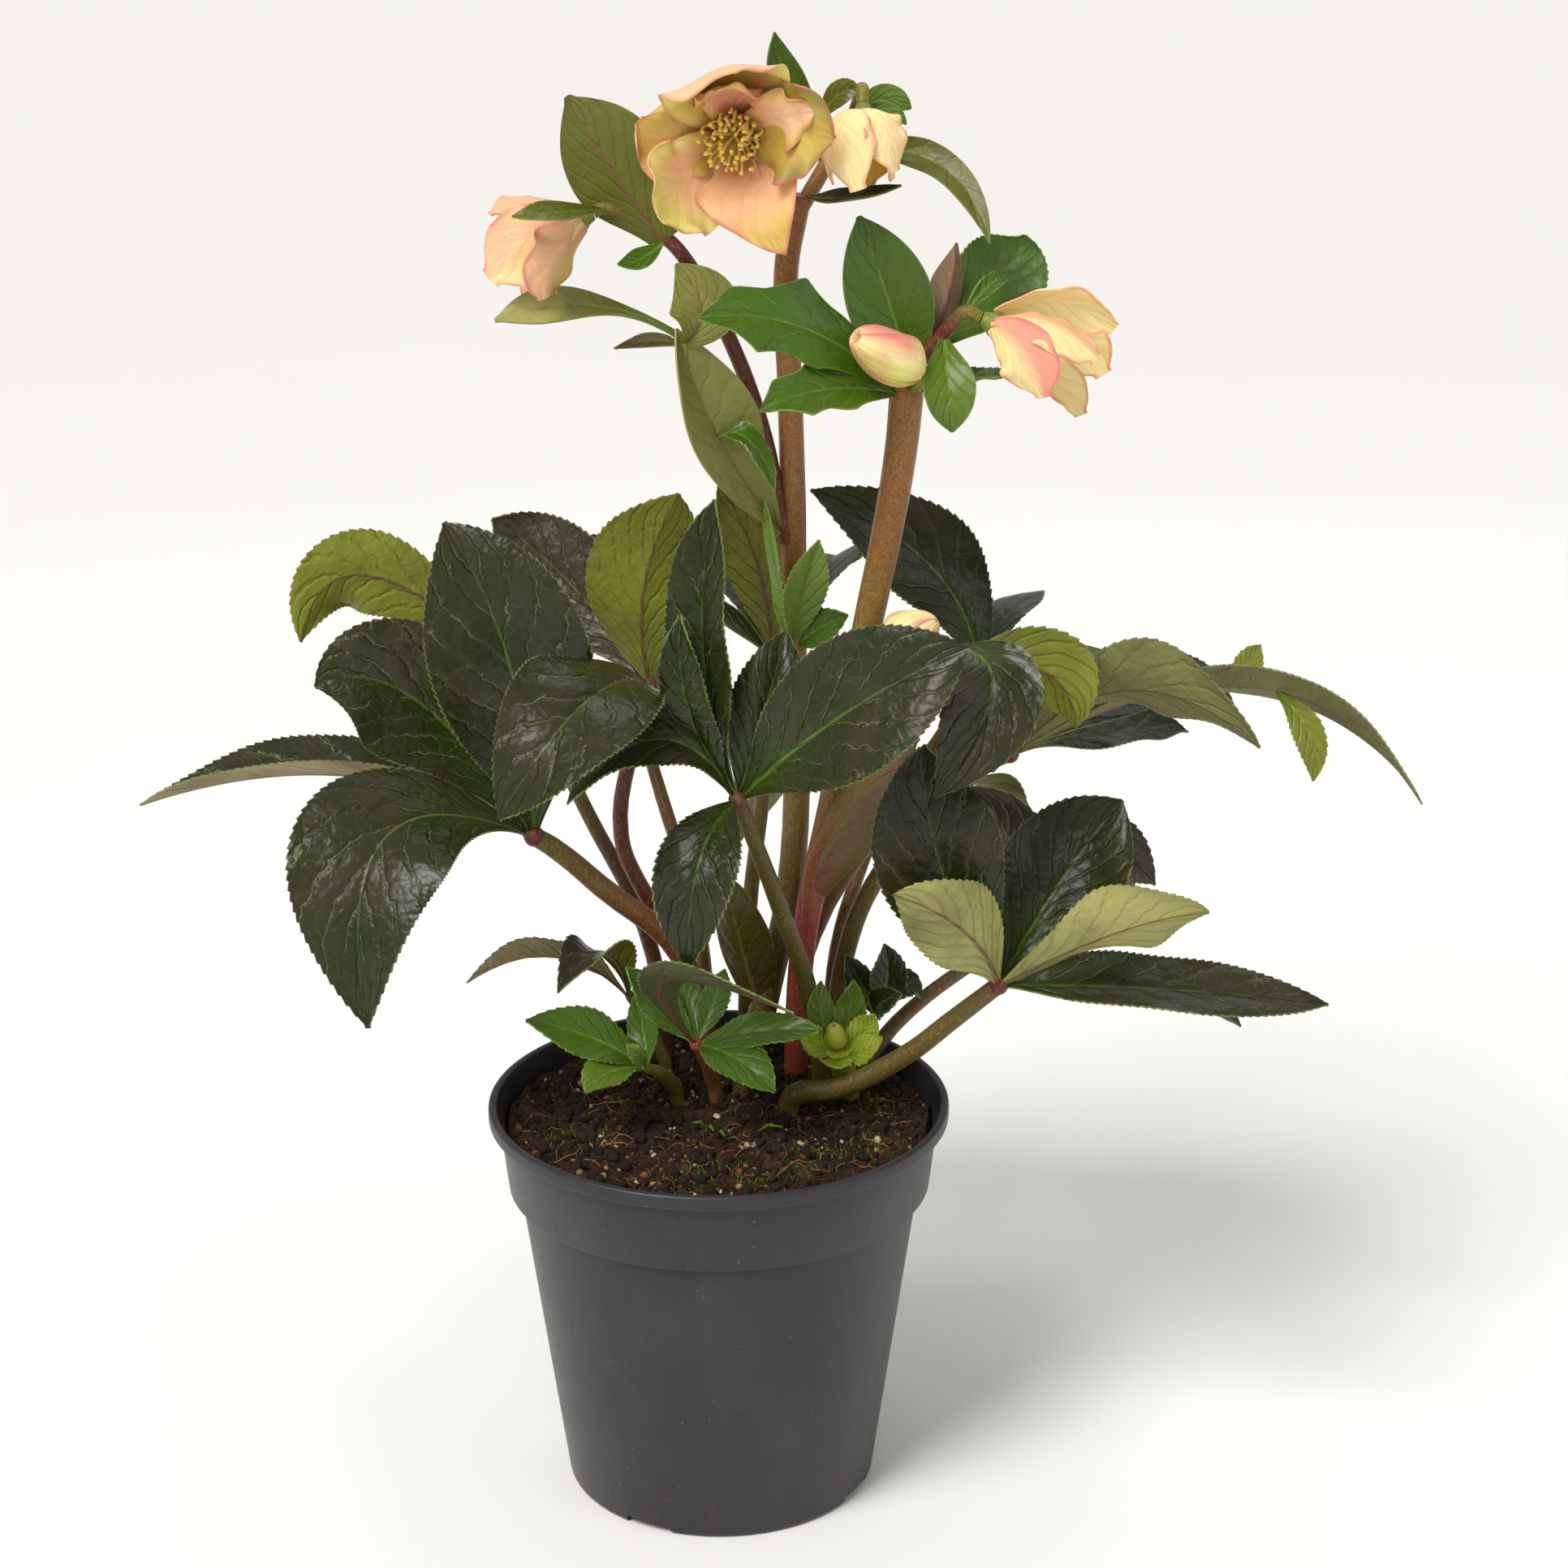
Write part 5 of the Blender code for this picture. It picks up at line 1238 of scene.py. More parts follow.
LEAVES = (Plant(
    "leaf_front", "leaf", (29, 21), 2.7,
    (Stalk(((26, 15, 139), (17, 1, 173), (9, -11, 200), (6, -16, 210)), 2.7, 2.0,
           (Hue.MOSS_STEM, Hue.MOSS_STEM, Hue.MOSS_STEM, Hue.MAROON)),),
    (6, -16, 210),
    (
        leaf((35, -36, 241), (66, -42, 260), 37, (0.05, -0.85, 0.5)),
        leaf((13, -19, 235), (19, -12, 256), 20, (-0.2, -0.95, 0.2)),
        leaf((-3, -14, 250), (0, -5, 290), 21, (-0.55, -0.8, 0.2), fold=0.45),
        slim((-6.5, -22, 236), (-9, -18, 262), 13, (-0.4, -0.9, 0.2), upper=Hue.OLD, cut=OLD_CUT),
        leaf((-15, -27, 230.5), (-40, -17, 209), 19, (-0.2, -0.6, 0.75), heart=Hue.GRASS),
        leaf((-4, -38, 200), (-7, -41, 171), 22, (-0.1, -0.95, 0.3), heart=Hue.GRASS),
    ),
    hub_radius=2.6,
), Plant(
    "leaf_left", "leaf", (-4, 31), 3.2,
    (Stalk(((-11, 26, 148), (-33, 16, 173), (-46, 10, 187), (-51, 8, 191)), 3.3, 2.6,
           (Hue.RUSSET, Hue.RUSSET, Hue.MOSS_STEM, Hue.MOSS_STEM)),),
    (-51, 8, 191),
    (
        leaf((-55, -8, 245), (-72, -2, 283), 43, (0.15, -0.95, 0.25)),
        leaf((-83, 8, 231), (-109, 2, 236), 38, (-0.2, -0.75, 0.6)),
        leaf((-102, 8, 209), (-157, -6, 205), 22, (0, 0.1, 1), fold=0.75, under=Hue.TAN),
        leaf((-88, -28, 203), (-92, -46, 156), 44, (-0.2, -0.8, 0.55)),
    ),
    hub_radius=3.0,
), Plant(
    "leaf_center", "leaf", (-5, 43), 2.5,
    (Stalk(((-12, 38, 147), (-23, 34, 167), (-28, 31, 183), (-24, 27, 212), (-19, 24, 230)),
           2.5, 2.0, (Hue.MAROON, Hue.MAROON)),),
    (-19, 24, 230),
    (
        leaf((-20, 24, 258), (-10, 14, 287), 34, (0.1, 0.95, 0.1)),
        leaf((-42, 44, 254), (-64, 50, 271), 28, (-0.4, -0.7, 0.5), upper=Hue.OLD_DULL),
        leaf((-33, -41, 245), (-55, -53, 217), 36, (0, -0.75, 0.65), heart=Hue.OLD_DULL),
    ),
    hub_radius=2.4,
), Plant(
    "leaf_back_left", "leaf", (-16, 38), 2.3,
    (Stalk(((-22, 42, 150), (-39, 48, 185), (-54, 52, 217), (-58, 53, 225)), 2.3, 1.9,
           (Hue.MAROON, Hue.MOSS_STEM)),),
    (-58, 53, 225),
    (
        leaf((-100, 52, 254), (-119, 46, 236), 24, (0.05, 0.95, 0.05)),
        leaf((-77, 66, 240), (-98, 78, 228), 26, (-0.2, -0.4, 0.9)),
        leaf((-62, 78, 244), (-66, 100, 234), 28, (0, 0.4, 0.9)),
        leaf((-42, 60, 247), (-30, 66, 262), 24, (0.2, -0.6, 0.7)),
    ),
    hub_radius=2.4,
), Plant(
    "leaf_back_center", "leaf", (7, 49), 2.3,
    (Stalk(((8, 51, 150), (13, 52, 195), (15, 52, 222), (15, 52, 230)), 2.3, 1.8),),
    (15, 52, 230),
    (
        leaf((11, 51, 257), (0, 46, 283), 19, (0, 0.98, 0.1)),
        leaf((30, 70, 252), (36, 92, 246), 28, (0.1, 0.5, 0.85)),
        leaf((6, 76, 250), (0, 100, 240), 30, (0, 0.5, 0.85)),
        leaf((-12, 66, 246), (-28, 86, 238), 26, (-0.2, 0.4, 0.85)),
    ),
    hub_radius=2.4,
), Plant(
    "leaf_back_right", "leaf", (21, 46), 2.3,
    (Stalk(((27, 50, 145), (52, 55, 186), (70, 59, 213), (75, 60, 221)), 2.4, 1.9,
           (Hue.RUSSET, Hue.MOSS_STEM)),),
    (75, 60, 221),
    (
        leaf((62, 64, 252), (26, 60, 277), 28, (0.3, -0.85, 0.4)),
        leaf((88, 70, 225), (95, 74, 229), 18, (0.1, -0.7, 0.7)),
        leaf((100, 76, 224), (122, 84, 213), 28, (0.2, 0.2, 0.95)),
        leaf((80, 88, 236), (84, 112, 222), 30, (0.1, 0.5, 0.85)),
    ),
    hub_radius=2.4,
), Plant(
    "leaf_right_high", "leaf", (33, 36), 2.8,
    (Stalk(((37, 32, 150), (46, 28, 173), (64, 20, 198), (77, 15, 211), (81, 14, 213)), 2.8, 2.2,
           (Hue.RUSSET, Hue.MOSS_STEM, Hue.OLIVE_STEM, Hue.RUSSET)),),
    (81, 14, 213),
    (
        # Painted shade: two of these leaflets' under sides take the darkened sage.
        leaf((113, 4, 235), (147, -8, 222), 30, (0, 0.75, 0.65), under=Hue.SAGE_IN_PAINTED_SHADE),
        leaf((124, 40, 226), (148, 48, 214), 26, (0, -0.5, 0.85)),
        leaf((150, 24, 229.5), (196, 12, 199), 21, (0, 0.45, 0.9), under=Hue.SAGE_IN_PAINTED_SHADE),
        tiny((164, 18, 218), (165.5, 14, 205), 9, base=(155.6, 23.8, 227.8), upper=Hue.OLIVE),
        tiny((148, 29, 234), (152, 33, 239), 8, (0, -0.7, 0.7), base=(145.4, 24, 229.1),
             upper=Hue.OLIVE),
        leaf((112, 52, 208), (137, 66, 203), 20, (0, -0.3, 0.95)),
    ),
    hub_radius=2.6,
), Plant(
    "leaf_right_low", "leaf", (20, 0), 3.2,
    (Stalk(((22, -1, 117), (33, -4, 120), (51, -8, 131), (66, -14, 146), (77, -18, 157)), 3.3, 2.4,
           (Hue.MOSS_STEM, Hue.MOSS_STEM, Hue.MOSS_STEM, Hue.MOSS_STEM, Hue.RUSSET)),),
    (77, -18, 157),
    (
        leaf((66, -36, 180), (47, -46, 194), 24, (-0.4, 0.75, 0.3), under=Hue.SAGE),
        leaf((95, -8, 185), (111, -2, 205), 35, (-0.2, -0.85, 0.45), heart=Hue.GRASS),
        leaf((107, -34, 179), (131, -38, 186), 25, (0, 0.75, 0.6), under=Hue.SAGE),
        leaf((120, -18, 156), (169, -10, 148), 25, (0, -0.4, 0.9)),
        leaf((120, 14, 147), (150, 22, 128), 20, (0, -0.3, 0.95), upper=Hue.OLD_DULL),
        leaf((60, -24, 195), (56, -16, 225), 35, (0.1, -0.95, 0.3)),
    ),
    hub_radius=2.8,
), Plant(
    "leaf_right_back", "leaf", (43, 28), 2.3,
    (Stalk(((46, 30, 119), (56, 36, 128), (74, 42, 140), (83, 44, 146)), 2.3, 1.9,
           (Hue.BROWN, Hue.BROWN)),),
    (83, 44, 146),
    (
        leaf((84, 42, 175), (70, 34, 197), 27, (-0.2, -0.85, 0.45), upper=Hue.OLD_DULL),
        leaf((107, 52, 170), (128, 58, 158), 26, (0.2, -0.8, 0.55), upper=Hue.OLD_DULL),
        leaf((104, 66, 158), (126, 82, 140), 26, (0.2, 0.3, 0.9)),
        leaf((84, 68, 168), (86, 92, 156), 28, (0, 0.5, 0.85)),
    ),
    hub_radius=2.4,
), Plant(
    "leaf_left_low", "leaf", (-16, 27), 2.0,
    (Stalk(((-18, 27, 119), (-23, 29, 130), (-26, 30, 134)), 2.0, 1.6),),
    (-26, 30, 134),
    (
        leaf((-48, 22, 150), (-72, 16, 144), 14, (0, 0.5, 0.85), fold=0.4, under=Hue.TAN),
        leaf((-33, 17, 153), (-45, 1, 147), 15, (-0.4, -0.6, 0.7), fold=0.35, upper=Hue.OLD_DULL),
    ),
), Plant(
    "leaf_rear_left", "leaf", (-4, 55), 2.2,
    (Stalk(((-8, 60, 150), (-18, 74, 180), (-22, 82, 191)), 2.2, 1.8, (Hue.RUSSET, Hue.MOSS_STEM)),),
    (-22, 82, 191), fan((-22, 82, 191), 130, 130, 4, 62, 32, 14, 26), hub_radius=2.4,
), Plant(
    "leaf_rear_right", "leaf", (32, 46), 2.2,
    (Stalk(((34, 52, 140), (42, 68, 162), (48, 80, 172)), 2.2, 1.8, (Hue.RUSSET, Hue.MOSS_STEM)),),
    (48, 80, 172), fan((48, 80, 172), 85, 120, 4, 60, 31, 13, 26), hub_radius=2.4,
), Plant(
    "young_leaf_middle", "young_leaf", (-1, 7), 2.1,
    (Stalk(((-2, 5, 119), (-4, -4, 130), (-6, -10, 136)), 2.2, 1.5, (Hue.MOSS_STEM, Hue.ROSE_STEM)),),
    (-6, -10, 136),
    (
        slim((5, -22, 137), (16, -29, 130), 15, (0, -0.5, 0.9)),
        slim((11, -15, 142), (28, -17, 143), 12, (0, -0.5, 0.9)),
        slim((-16, -8, 147), (-25, -10, 159), 11, (0.4, -0.8, 0.4)),
        tiny((-9, -2, 147), (-11, 1, 156), 9, (0, -0.9, 0.3)),
        tiny((-1, -5, 147), (2, -4, 156), 8, (0, -0.9, 0.3)),
        slim((-13, -36, 166), (21, -50, 162), 13, (0, 0.8, 0.5), under=Hue.DUSK),
    ),
    Hue.ROSE_STEM, 1.9,
), Plant(
    "young_leaf_left", "young_leaf", (-12, 5), 2.1,
    (Stalk(((-13, 3, 118), (-17, -4, 125), (-20, -8, 128)), 2.2, 1.4, (Hue.MOSS_STEM, Hue.GRASS)),),
    (-20, -8, 128),
    (
        slim((-35, -10, 138), (-53, -12, 144), 15, (0, -0.6, 0.8)),
        slim((-30, -18, 131), (-36, -25, 128), 12, (-0.2, -0.5, 0.85), upper=Hue.GRASS),
        tiny((-21, -1, 136), (-24, 3, 145), 9, (-0.2, -0.9, 0.3)),
        tiny((-22, -13, 134), (-25, -15, 138), 5, (0, -0.8, 0.5), upper=Hue.LIGHT),
    ),
), Plant(
    "young_leaf_back", "young_leaf", (41, 19), 1.7,
    (Stalk(((42, 20, 120), (43.5, 21, 127), (44.5, 22, 131)), 1.7, 1.2),),
    (44.5, 22, 131),
    (
        tiny((46, 15, 138), (52, 12, 142), 9, (0, -0.7, 0.6), upper=Hue.OLD),
        tiny((48, 24, 142), (47, 20, 154), 11, (0.3, -0.8, 0.4), upper=Hue.OLD),
        tiny((53, 27, 139), (58, 28, 134), 10, (0.3, -0.5, 0.8), upper=Hue.OLD),
        tiny((41, 25, 139), (36, 25, 149), 9, (0, -0.9, 0.4), upper=Hue.OLD),
    ),
), Plant(
    "flower_shoot", "shoot", (37, 9), 2.8,
    (Stalk(((36, 9, 117), (35, 8, 123), (34, 6, 128)), 3.4, 4.2, (Hue.MOSS_STEM, Hue.LIME),
           knob=False),),
    (34, 7, 125),
    (
        slim((37, 11, 136), (38, 10, 147), 9, (0.1, -0.9, 0.3), upper=Hue.GRASS),
        slim((41, 6, 133), (44, 4, 139), 9, (-0.3, -0.8, 0.3), upper=Hue.LIME),
        tiny((41, 2, 129), (46, 0, 134), 9, (0.1, -0.6, 0.7), upper=Hue.LIME),
        tiny((26.5, 4, 131), (24.5, 1, 139), 8, (0.5, -0.8, 0.3), upper=Hue.LIME),
        tiny((33, -1, 126), (34, -8, 128), 9, (0, -0.5, 0.8), upper=Hue.LIME),
        tiny((29, 11, 136), (29, 12, 146), 8, (0.3, -0.9, 0.3), upper=Hue.GRASS),
    ),
), Plant(
    "old_stalk", "husk", (6, 8), 2.4,
    (Stalk(((6, 7.6, 117), (5.6, 6.8, 121), (5, 5.6, 124)), 2.3, 1.5, (Hue.BROWN, Hue.BROWN)),),
))


@dataclass(frozen=True)
class Bloom:
    """A flower: the end of its pedicel, the way it opens, its tepals, and what stands in its heart.

    stamen_spread is how far the outer stamens lean out, in degrees, and ring is the cup's radius.
    """

    name: str
    seat: Point
    axis: Point
    tepals: tuple[Blade, ...]
    stamens: int
    stamen_length: float
    stamen_spread: float
    ring: float = 3.0

    GAP = 0.3
    CUP_LENGTH = 3.4
    CUP_START = 1.9
    CUP_MIDDLE = 0.8
    CUP_FLARE = 0.6
    CUP_SIDES = 20
    TEPAL_SEAT = 1.6
    TEPAL_RING = 0.5
    CORE_GAP = 0.9
    CORE_DEPTH = 1.2
    CORE_LENGTH = 4.0
    CORE_SHARES = (0.62, 0.3)
    CORE_SIDES = 12
    FOOT_RISE = 0.8
    FOOT_RING = 0.15
    FOOT_SPREAD = 0.3
    LEAST_LEAN = 0.35
    MORE_LEAN = 0.95
    SHORTER = 0.16
    BOW = 0.15
    BOW_CHANGE = 0.6
    SAG = 0.2
    HOOK = 0.07
    HOOK_IN = 0.5
    STAMEN_RADII = (0.42, 0.38, 0.36, 0.35, 0.34, 0.32, 0.26)
    STAMEN_SIDES = 5
    ANTHER = 0.72
    ANTHER_CHANGE = 0.12
    STYLES = 5
    STYLE_FOOT = 1.5
    STYLE_SHARE = 0.86
    STYLE_IN = 0.8
    STYLE_OUT = 3.4
    STYLE_RADII = (0.75, 0.6, 0.42, 0.36, 0.34, 0.34, 0.4)
    STYLE_SIDES = 7
    NECTARIES = 12
    NECTARY_RING = 0.5
    NECTARY_OUT = 1.5
    NECTARY_RISE = 2.6
    NECTARY_RADII = (0.35, 0.7, 0.95)
    NECTARY_SIDES = 8

    def heading(self) -> Vector:
        """The way that the flower opens."""
        return Vector(self.axis).normalized()

    def front(self) -> Vector:
        """The middle of the cup's open side."""
        return Vector(self.seat) + self.heading() * (self.GAP + self.CUP_LENGTH)

    def core(self) -> Vector:
        """The middle of the heart, clear of the cup."""
        return self.front() + self.heading() * self.CORE_GAP

    def crown(self) -> Piece:
        """The tepals on their cup."""
        axis, front = self.heading(), self.front()
        start = np.array(front - axis * self.CUP_LENGTH)
        halfway = start + np.array(axis) * 0.5 * self.CUP_LENGTH
        radii = [self.CUP_START, self.ring * self.CUP_MIDDLE, self.ring + self.CUP_FLARE]
        cup = thread([start, halfway, np.array(front)], radii, self.CUP_SIDES, Hue.OLIVE, Hue.LIGHT)
        pieces = [dressed(cup, STEM)]
        for index, blade in enumerate(self.tepals):
            outward = Vector(blade.middle) - front
            outward = (outward - outward.dot(axis) * axis).normalized()
            root = front - axis * self.TEPAL_SEAT + outward * self.ring * self.TEPAL_RING
            pieces.append(blade.build(tuple(root), index * 5 + len(self.name)))
        return handed_over(join(pieces, "bloom_" + self.name + "_fine"), "tepal", "bloom_" + self.name)

    def heart(self) -> Piece:
        """The stamens, styles and nectaries."""
        axis, core = self.heading(), self.core()
        across = axis.orthogonal().normalized()
        knob = [np.array(core - axis * self.CORE_DEPTH), np.array(core + axis * self.CORE_LENGTH)]
        radii = [self.ring * share for share in self.CORE_SHARES]
        pieces = [thread(knob, radii, self.CORE_SIDES, Hue.LIME, Hue.LIME)]
        for index in range(self.stamens):
            pieces += self.stamen(index, Quaternion(axis, index * GOLDEN_TURN) @ across)
        for index in range(self.STYLES):
            turn = Quaternion(axis, (index + 0.3) * 2 * pi / self.STYLES)
            pieces.append(self.style(turn @ across))
        for index in range(self.NECTARIES):
            turn = Quaternion(axis, (index + 0.5) * 2 * pi / self.NECTARIES)
            pieces.append(self.nectary(turn @ across))
        return handed_over(join(pieces, "stamens_" + self.name + "_fine"), "stamen", "stamens_" + self.name)

    def stamen(self, index: int, outward: Vector) -> list[Piece]:
        """A stamen that leans out, bows, sags and ends in a hook.

        Args:
            index: Its number, counted from the middle outward.
            outward: The way out where it stands.

        Returns:
            Its thread and its anther.
        """
        axis, share = self.heading(), (index + 0.5) / self.stamens
        lean = radians(self.stamen_spread) * (self.LEAST_LEAN + self.MORE_LEAN * share ** 0.6)
        length = self.stamen_length * (1.0 - self.SHORTER * (1.0 - cos(7.0 * index)))
        ring = self.FOOT_RING + self.FOOT_SPREAD * share
        foot = self.core() + axis * self.FOOT_RISE + outward * self.ring * ring
        reach = (axis * cos(lean) + outward * sin(lean)) * length
        bow = outward * length * self.BOW * (1.0 + self.BOW_CHANGE * sin(5.0 * index))
        sag = Vector((0, 0, -self.SAG * length))
        line = [np.array(foot + reach * s + bow * 4.0 * s * (1 - s) + sag * s * s)
                for s in np.linspace(0.0, 1.0, len(self.STAMEN_RADII) - 1)]
        hook = line[-1] + np.array((reach - bow * 3.0) * self.HOOK - outward * self.HOOK_IN)
        size = self.ANTHER + self.ANTHER_CHANGE * sin(3.0 * index)
        return [thread([*line, hook], self.STAMEN_RADII, self.STAMEN_SIDES, Hue.GOLD, Hue.STRAW),
                anther(hook, Vector(hook - line[-2]), size, Hue.GOLD)]

    def style(self, outward: Vector) -> Piece:
        """One of the styles, which part a little toward their ends."""
        axis, core = self.heading(), self.core()
        line = [np.array(core + axis * (self.STYLE_FOOT + s * self.stamen_length * self.STYLE_SHARE)
                         + outward * (self.STYLE_IN + self.STYLE_OUT * s ** 2))
                for s in np.linspace(0.0, 1.0, len(self.STYLE_RADII))]
        return thread(line, self.STYLE_RADII, self.STYLE_SIDES, Hue.STRAW, Hue.PEACH)

    def nectary(self, outward: Vector) -> Piece:
        """One of the small green horns round the stamens' feet."""
        foot = self.core() + outward * self.ring * self.NECTARY_RING
        mouth = foot + outward * self.NECTARY_OUT + self.heading() * self.NECTARY_RISE
        line = [np.array(foot), np.array((foot + mouth) / 2), np.array(mouth)]
        return thread(line, self.NECTARY_RADII, self.NECTARY_SIDES, Hue.LIME, Hue.GREEN_CREAM)


def thread(line: Sequence[Rows], radii: Sequence[float], sides: int, lower: Hue,
           upper: Hue) -> Piece:
    """A thin round thread along points, from a grid that is rolled up with its rows on the line.

    Args:
        line: The points, in millimetres.
        radii: The radius at each point.
        sides: How many faces it has round.
        lower: The colour at its start.
        upper: The colour at its end.

    Returns:
        The thread as an object.
    """
    count = len(line)
    points = np.array(line, float)
    alone()
    bpy.ops.mesh.primitive_grid_add(x_subdivisions=sides, y_subdivisions=count - 1, size=2.0)
    rod = active()
    cell = places_of(rod.data)
    around = ((cell[:, 0] + 1.0) * pi)[:, None]
    ring = np.rint((cell[:, 1] + 1.0) * 0.5 * (count - 1)).astype(int)
    ways = unit(np.gradient(points, axis=0))
    first = np.array(Vector(ways[0]).orthogonal().normalized())
    across, ups = [], []
    for way in ways:
        first = unit(first - first.dot(way) * way)
        across.append(first)
        ups.append(np.cross(way, first))
    size = np.array(radii, float)[ring][:, None]
    put(rod.data, (points[ring] + np.array(across)[ring] * np.cos(around) * size
                   + np.array(ups)[ring] * np.sin(around) * size) * MM)
    clean(merge=True, fill=True)
    painted(rod.data, blended((lower, upper), nearest_share(rod, points)))
    return dressed(rod, THREAD)


def anther(place: Rows, way: Vector, radius: float, hue: Hue) -> Piece:
    """A stamen's pollen sac.

    Args:
        place: Its middle.
        way: The way that its length points.
        radius: Its size.
        hue: Its colour.

    Returns:
        The sac.
    """
    alone()
    bpy.ops.mesh.primitive_ico_sphere_add(subdivisions=2, radius=radius * MM)
    sac = active()
    turn = Vector((0, 0, 1)).rotation_difference(way).to_matrix()
    shape = places_of(sac.data) * ANTHER_SHAPE
    put(sac.data, shape @ np.array(turn).T + place * MM)
    painted(sac.data, hue.value)
    return dressed(sac, THREAD)


BLOOMS = (Bloom(
    "main", (6.4, 19.8, 382.4), (-0.12, -0.97, 0.1),
    (
        peachy((13, 3, 365.5), (19, -8, 356), 25, (-0.2, -0.8, 0.3), outline=SPADE, grow=1.2,
               end=Hue.OLIVE_CREAM, flush=0.5, shift=(0, -4.5, 0)),
        greenish((-7, 3, 367.5), (-11, -9, 361), 22, (0.3, -0.8, 0.4), upper=Hue.PEACH, shift=(-2, -1, 3),
                 rim=Hue.GREEN_CREAM, end=Hue.GREEN_CREAM, flush=0.15, grow=1.2, roll=20.0),
        greenish((-9, -3, 386), (-18, -7, 391), 25, (0.5, -0.8, 0), flush=0.3, shift=(-1, 10, -3),
                 grow=0.95),
        greenish((4, -1, 401), (10, -17, 404), 30, (0, -0.7, -0.6), flush=0.2, under=Hue.PEACH,
                 roll=-18.0, rim=Hue.GREEN_CREAM, grow=1.15, shift=(-2, 0, -1)),
        greenish((20, -2, 386), (31, -6, 384), 26, (-0.5, -0.8, 0), flush=0.3, rim=Hue.OLIVE),
        peachy((4, 3, 395.5), (0, -11, 397), 20, (0, -0.8, -0.5), upper=Hue.ROSY, rim=Hue.GREEN_CREAM,
               end=Hue.GREEN_CREAM, flush=0.5, cut=RUFFLED_CUT, grow=0.9),
        greenish((15, -2, 389), (24, -9, 391), 14, (-0.4, -0.8, -0.3), upper=Hue.PEACH,
                 rim=Hue.OLIVE_CREAM, flush=0.4, shift=(2.5, 1, 0.5)),
    ),
    60, 12.4, 29.0, 4.0,
), Bloom(
    "left", (-31.5, 11.2, 363.0), (-0.9, -0.18, -0.4),
    (
        peachy((-46, -4, 359), (-58, -3, 348), 20, (0.2, 0.9, -0.1), lobe=Hue.CREAM, flush=0.5,
               outline=BLUNT),
        peachy((-41, -1, 351), (-43, -5, 343), 14, (-0.3, 0.8, 0.4), lobe=Hue.OLIVE_CREAM, flush=0.4,
               outline=BLUNT, grow=1.35, shift=(0.5, -5, 1.5)),
        peachy((-48, 7, 367), (-58, 3, 364), 15, (-0.2, 0.2, -0.9)),
        peachy((-47, 18, 356), (-57, 14, 347), 17, (0.1, -0.9, -0.1)),
        peachy((-43, 12, 348), (-50, 8, 341), 15, (-0.2, -0.3, 0.8)),
    ),
    16, 9.0, 20.0,
), Bloom(
    "right", (70.0, 4.4, 336.6), (0.92, -0.03, -0.4),
    (
        blunt((79, -8, 330), (86, -9, 318), 17, (0.3, 0.9, 0.2), lobe=Hue.ROSY, flush=0.3),
        blunt((88, -4, 336), (100, -6, 328), 17, (-0.3, 0.4, -0.7), flush=0.3, lobe=Hue.PEACH),
        blunt((90, 9, 342), (107, 9, 335), 16, (-0.1, -0.8, -0.55), flush=0.1, wave=0.4,
              shift=(-1, 0, -2)),
        blunt((88, 8, 321), (97, 6, 310), 15, (-0.1, -0.4, 0.8), flush=0.1),
        blunt((92, 16, 330), (104, 16, 319), 16, (-0.2, -0.9, 0.1), flush=0.1),
    ),
    16, 8.0, 13.0,
), Bloom(
    "opening", (39.0, 16, 390.5), (0.02, -0.6, -0.8),
    (
        blunt((33, 1.5, 387), (37.5, -1, 370.5), 15.5, (0.3, 0.9, 0.2), flush=0.35, wave=0.4),
        blunt((44, 3, 388), (47, 1.5, 375), 13, (-0.5, 0.8, 0.2), flush=0.4, wave=0.4),
        tepal((48, 12, 381), (46, 7, 372), 15, (-0.9, 0.1, 0.1), flush=0.4),
        blunt((39, 22, 380), (39, 16, 370), 16, (0, -0.95, 0.1), flush=0.05, end=Hue.GOLD,
              shift=(0.5, -2, -0.5), grow=1.15),
        tepal((29, 13, 384), (31, 8, 373), 15, (0.95, 0.1, 0.1), flush=0.3, shift=(0, -1, -2)),
    ),
    12, 5.5, 14.0,
))


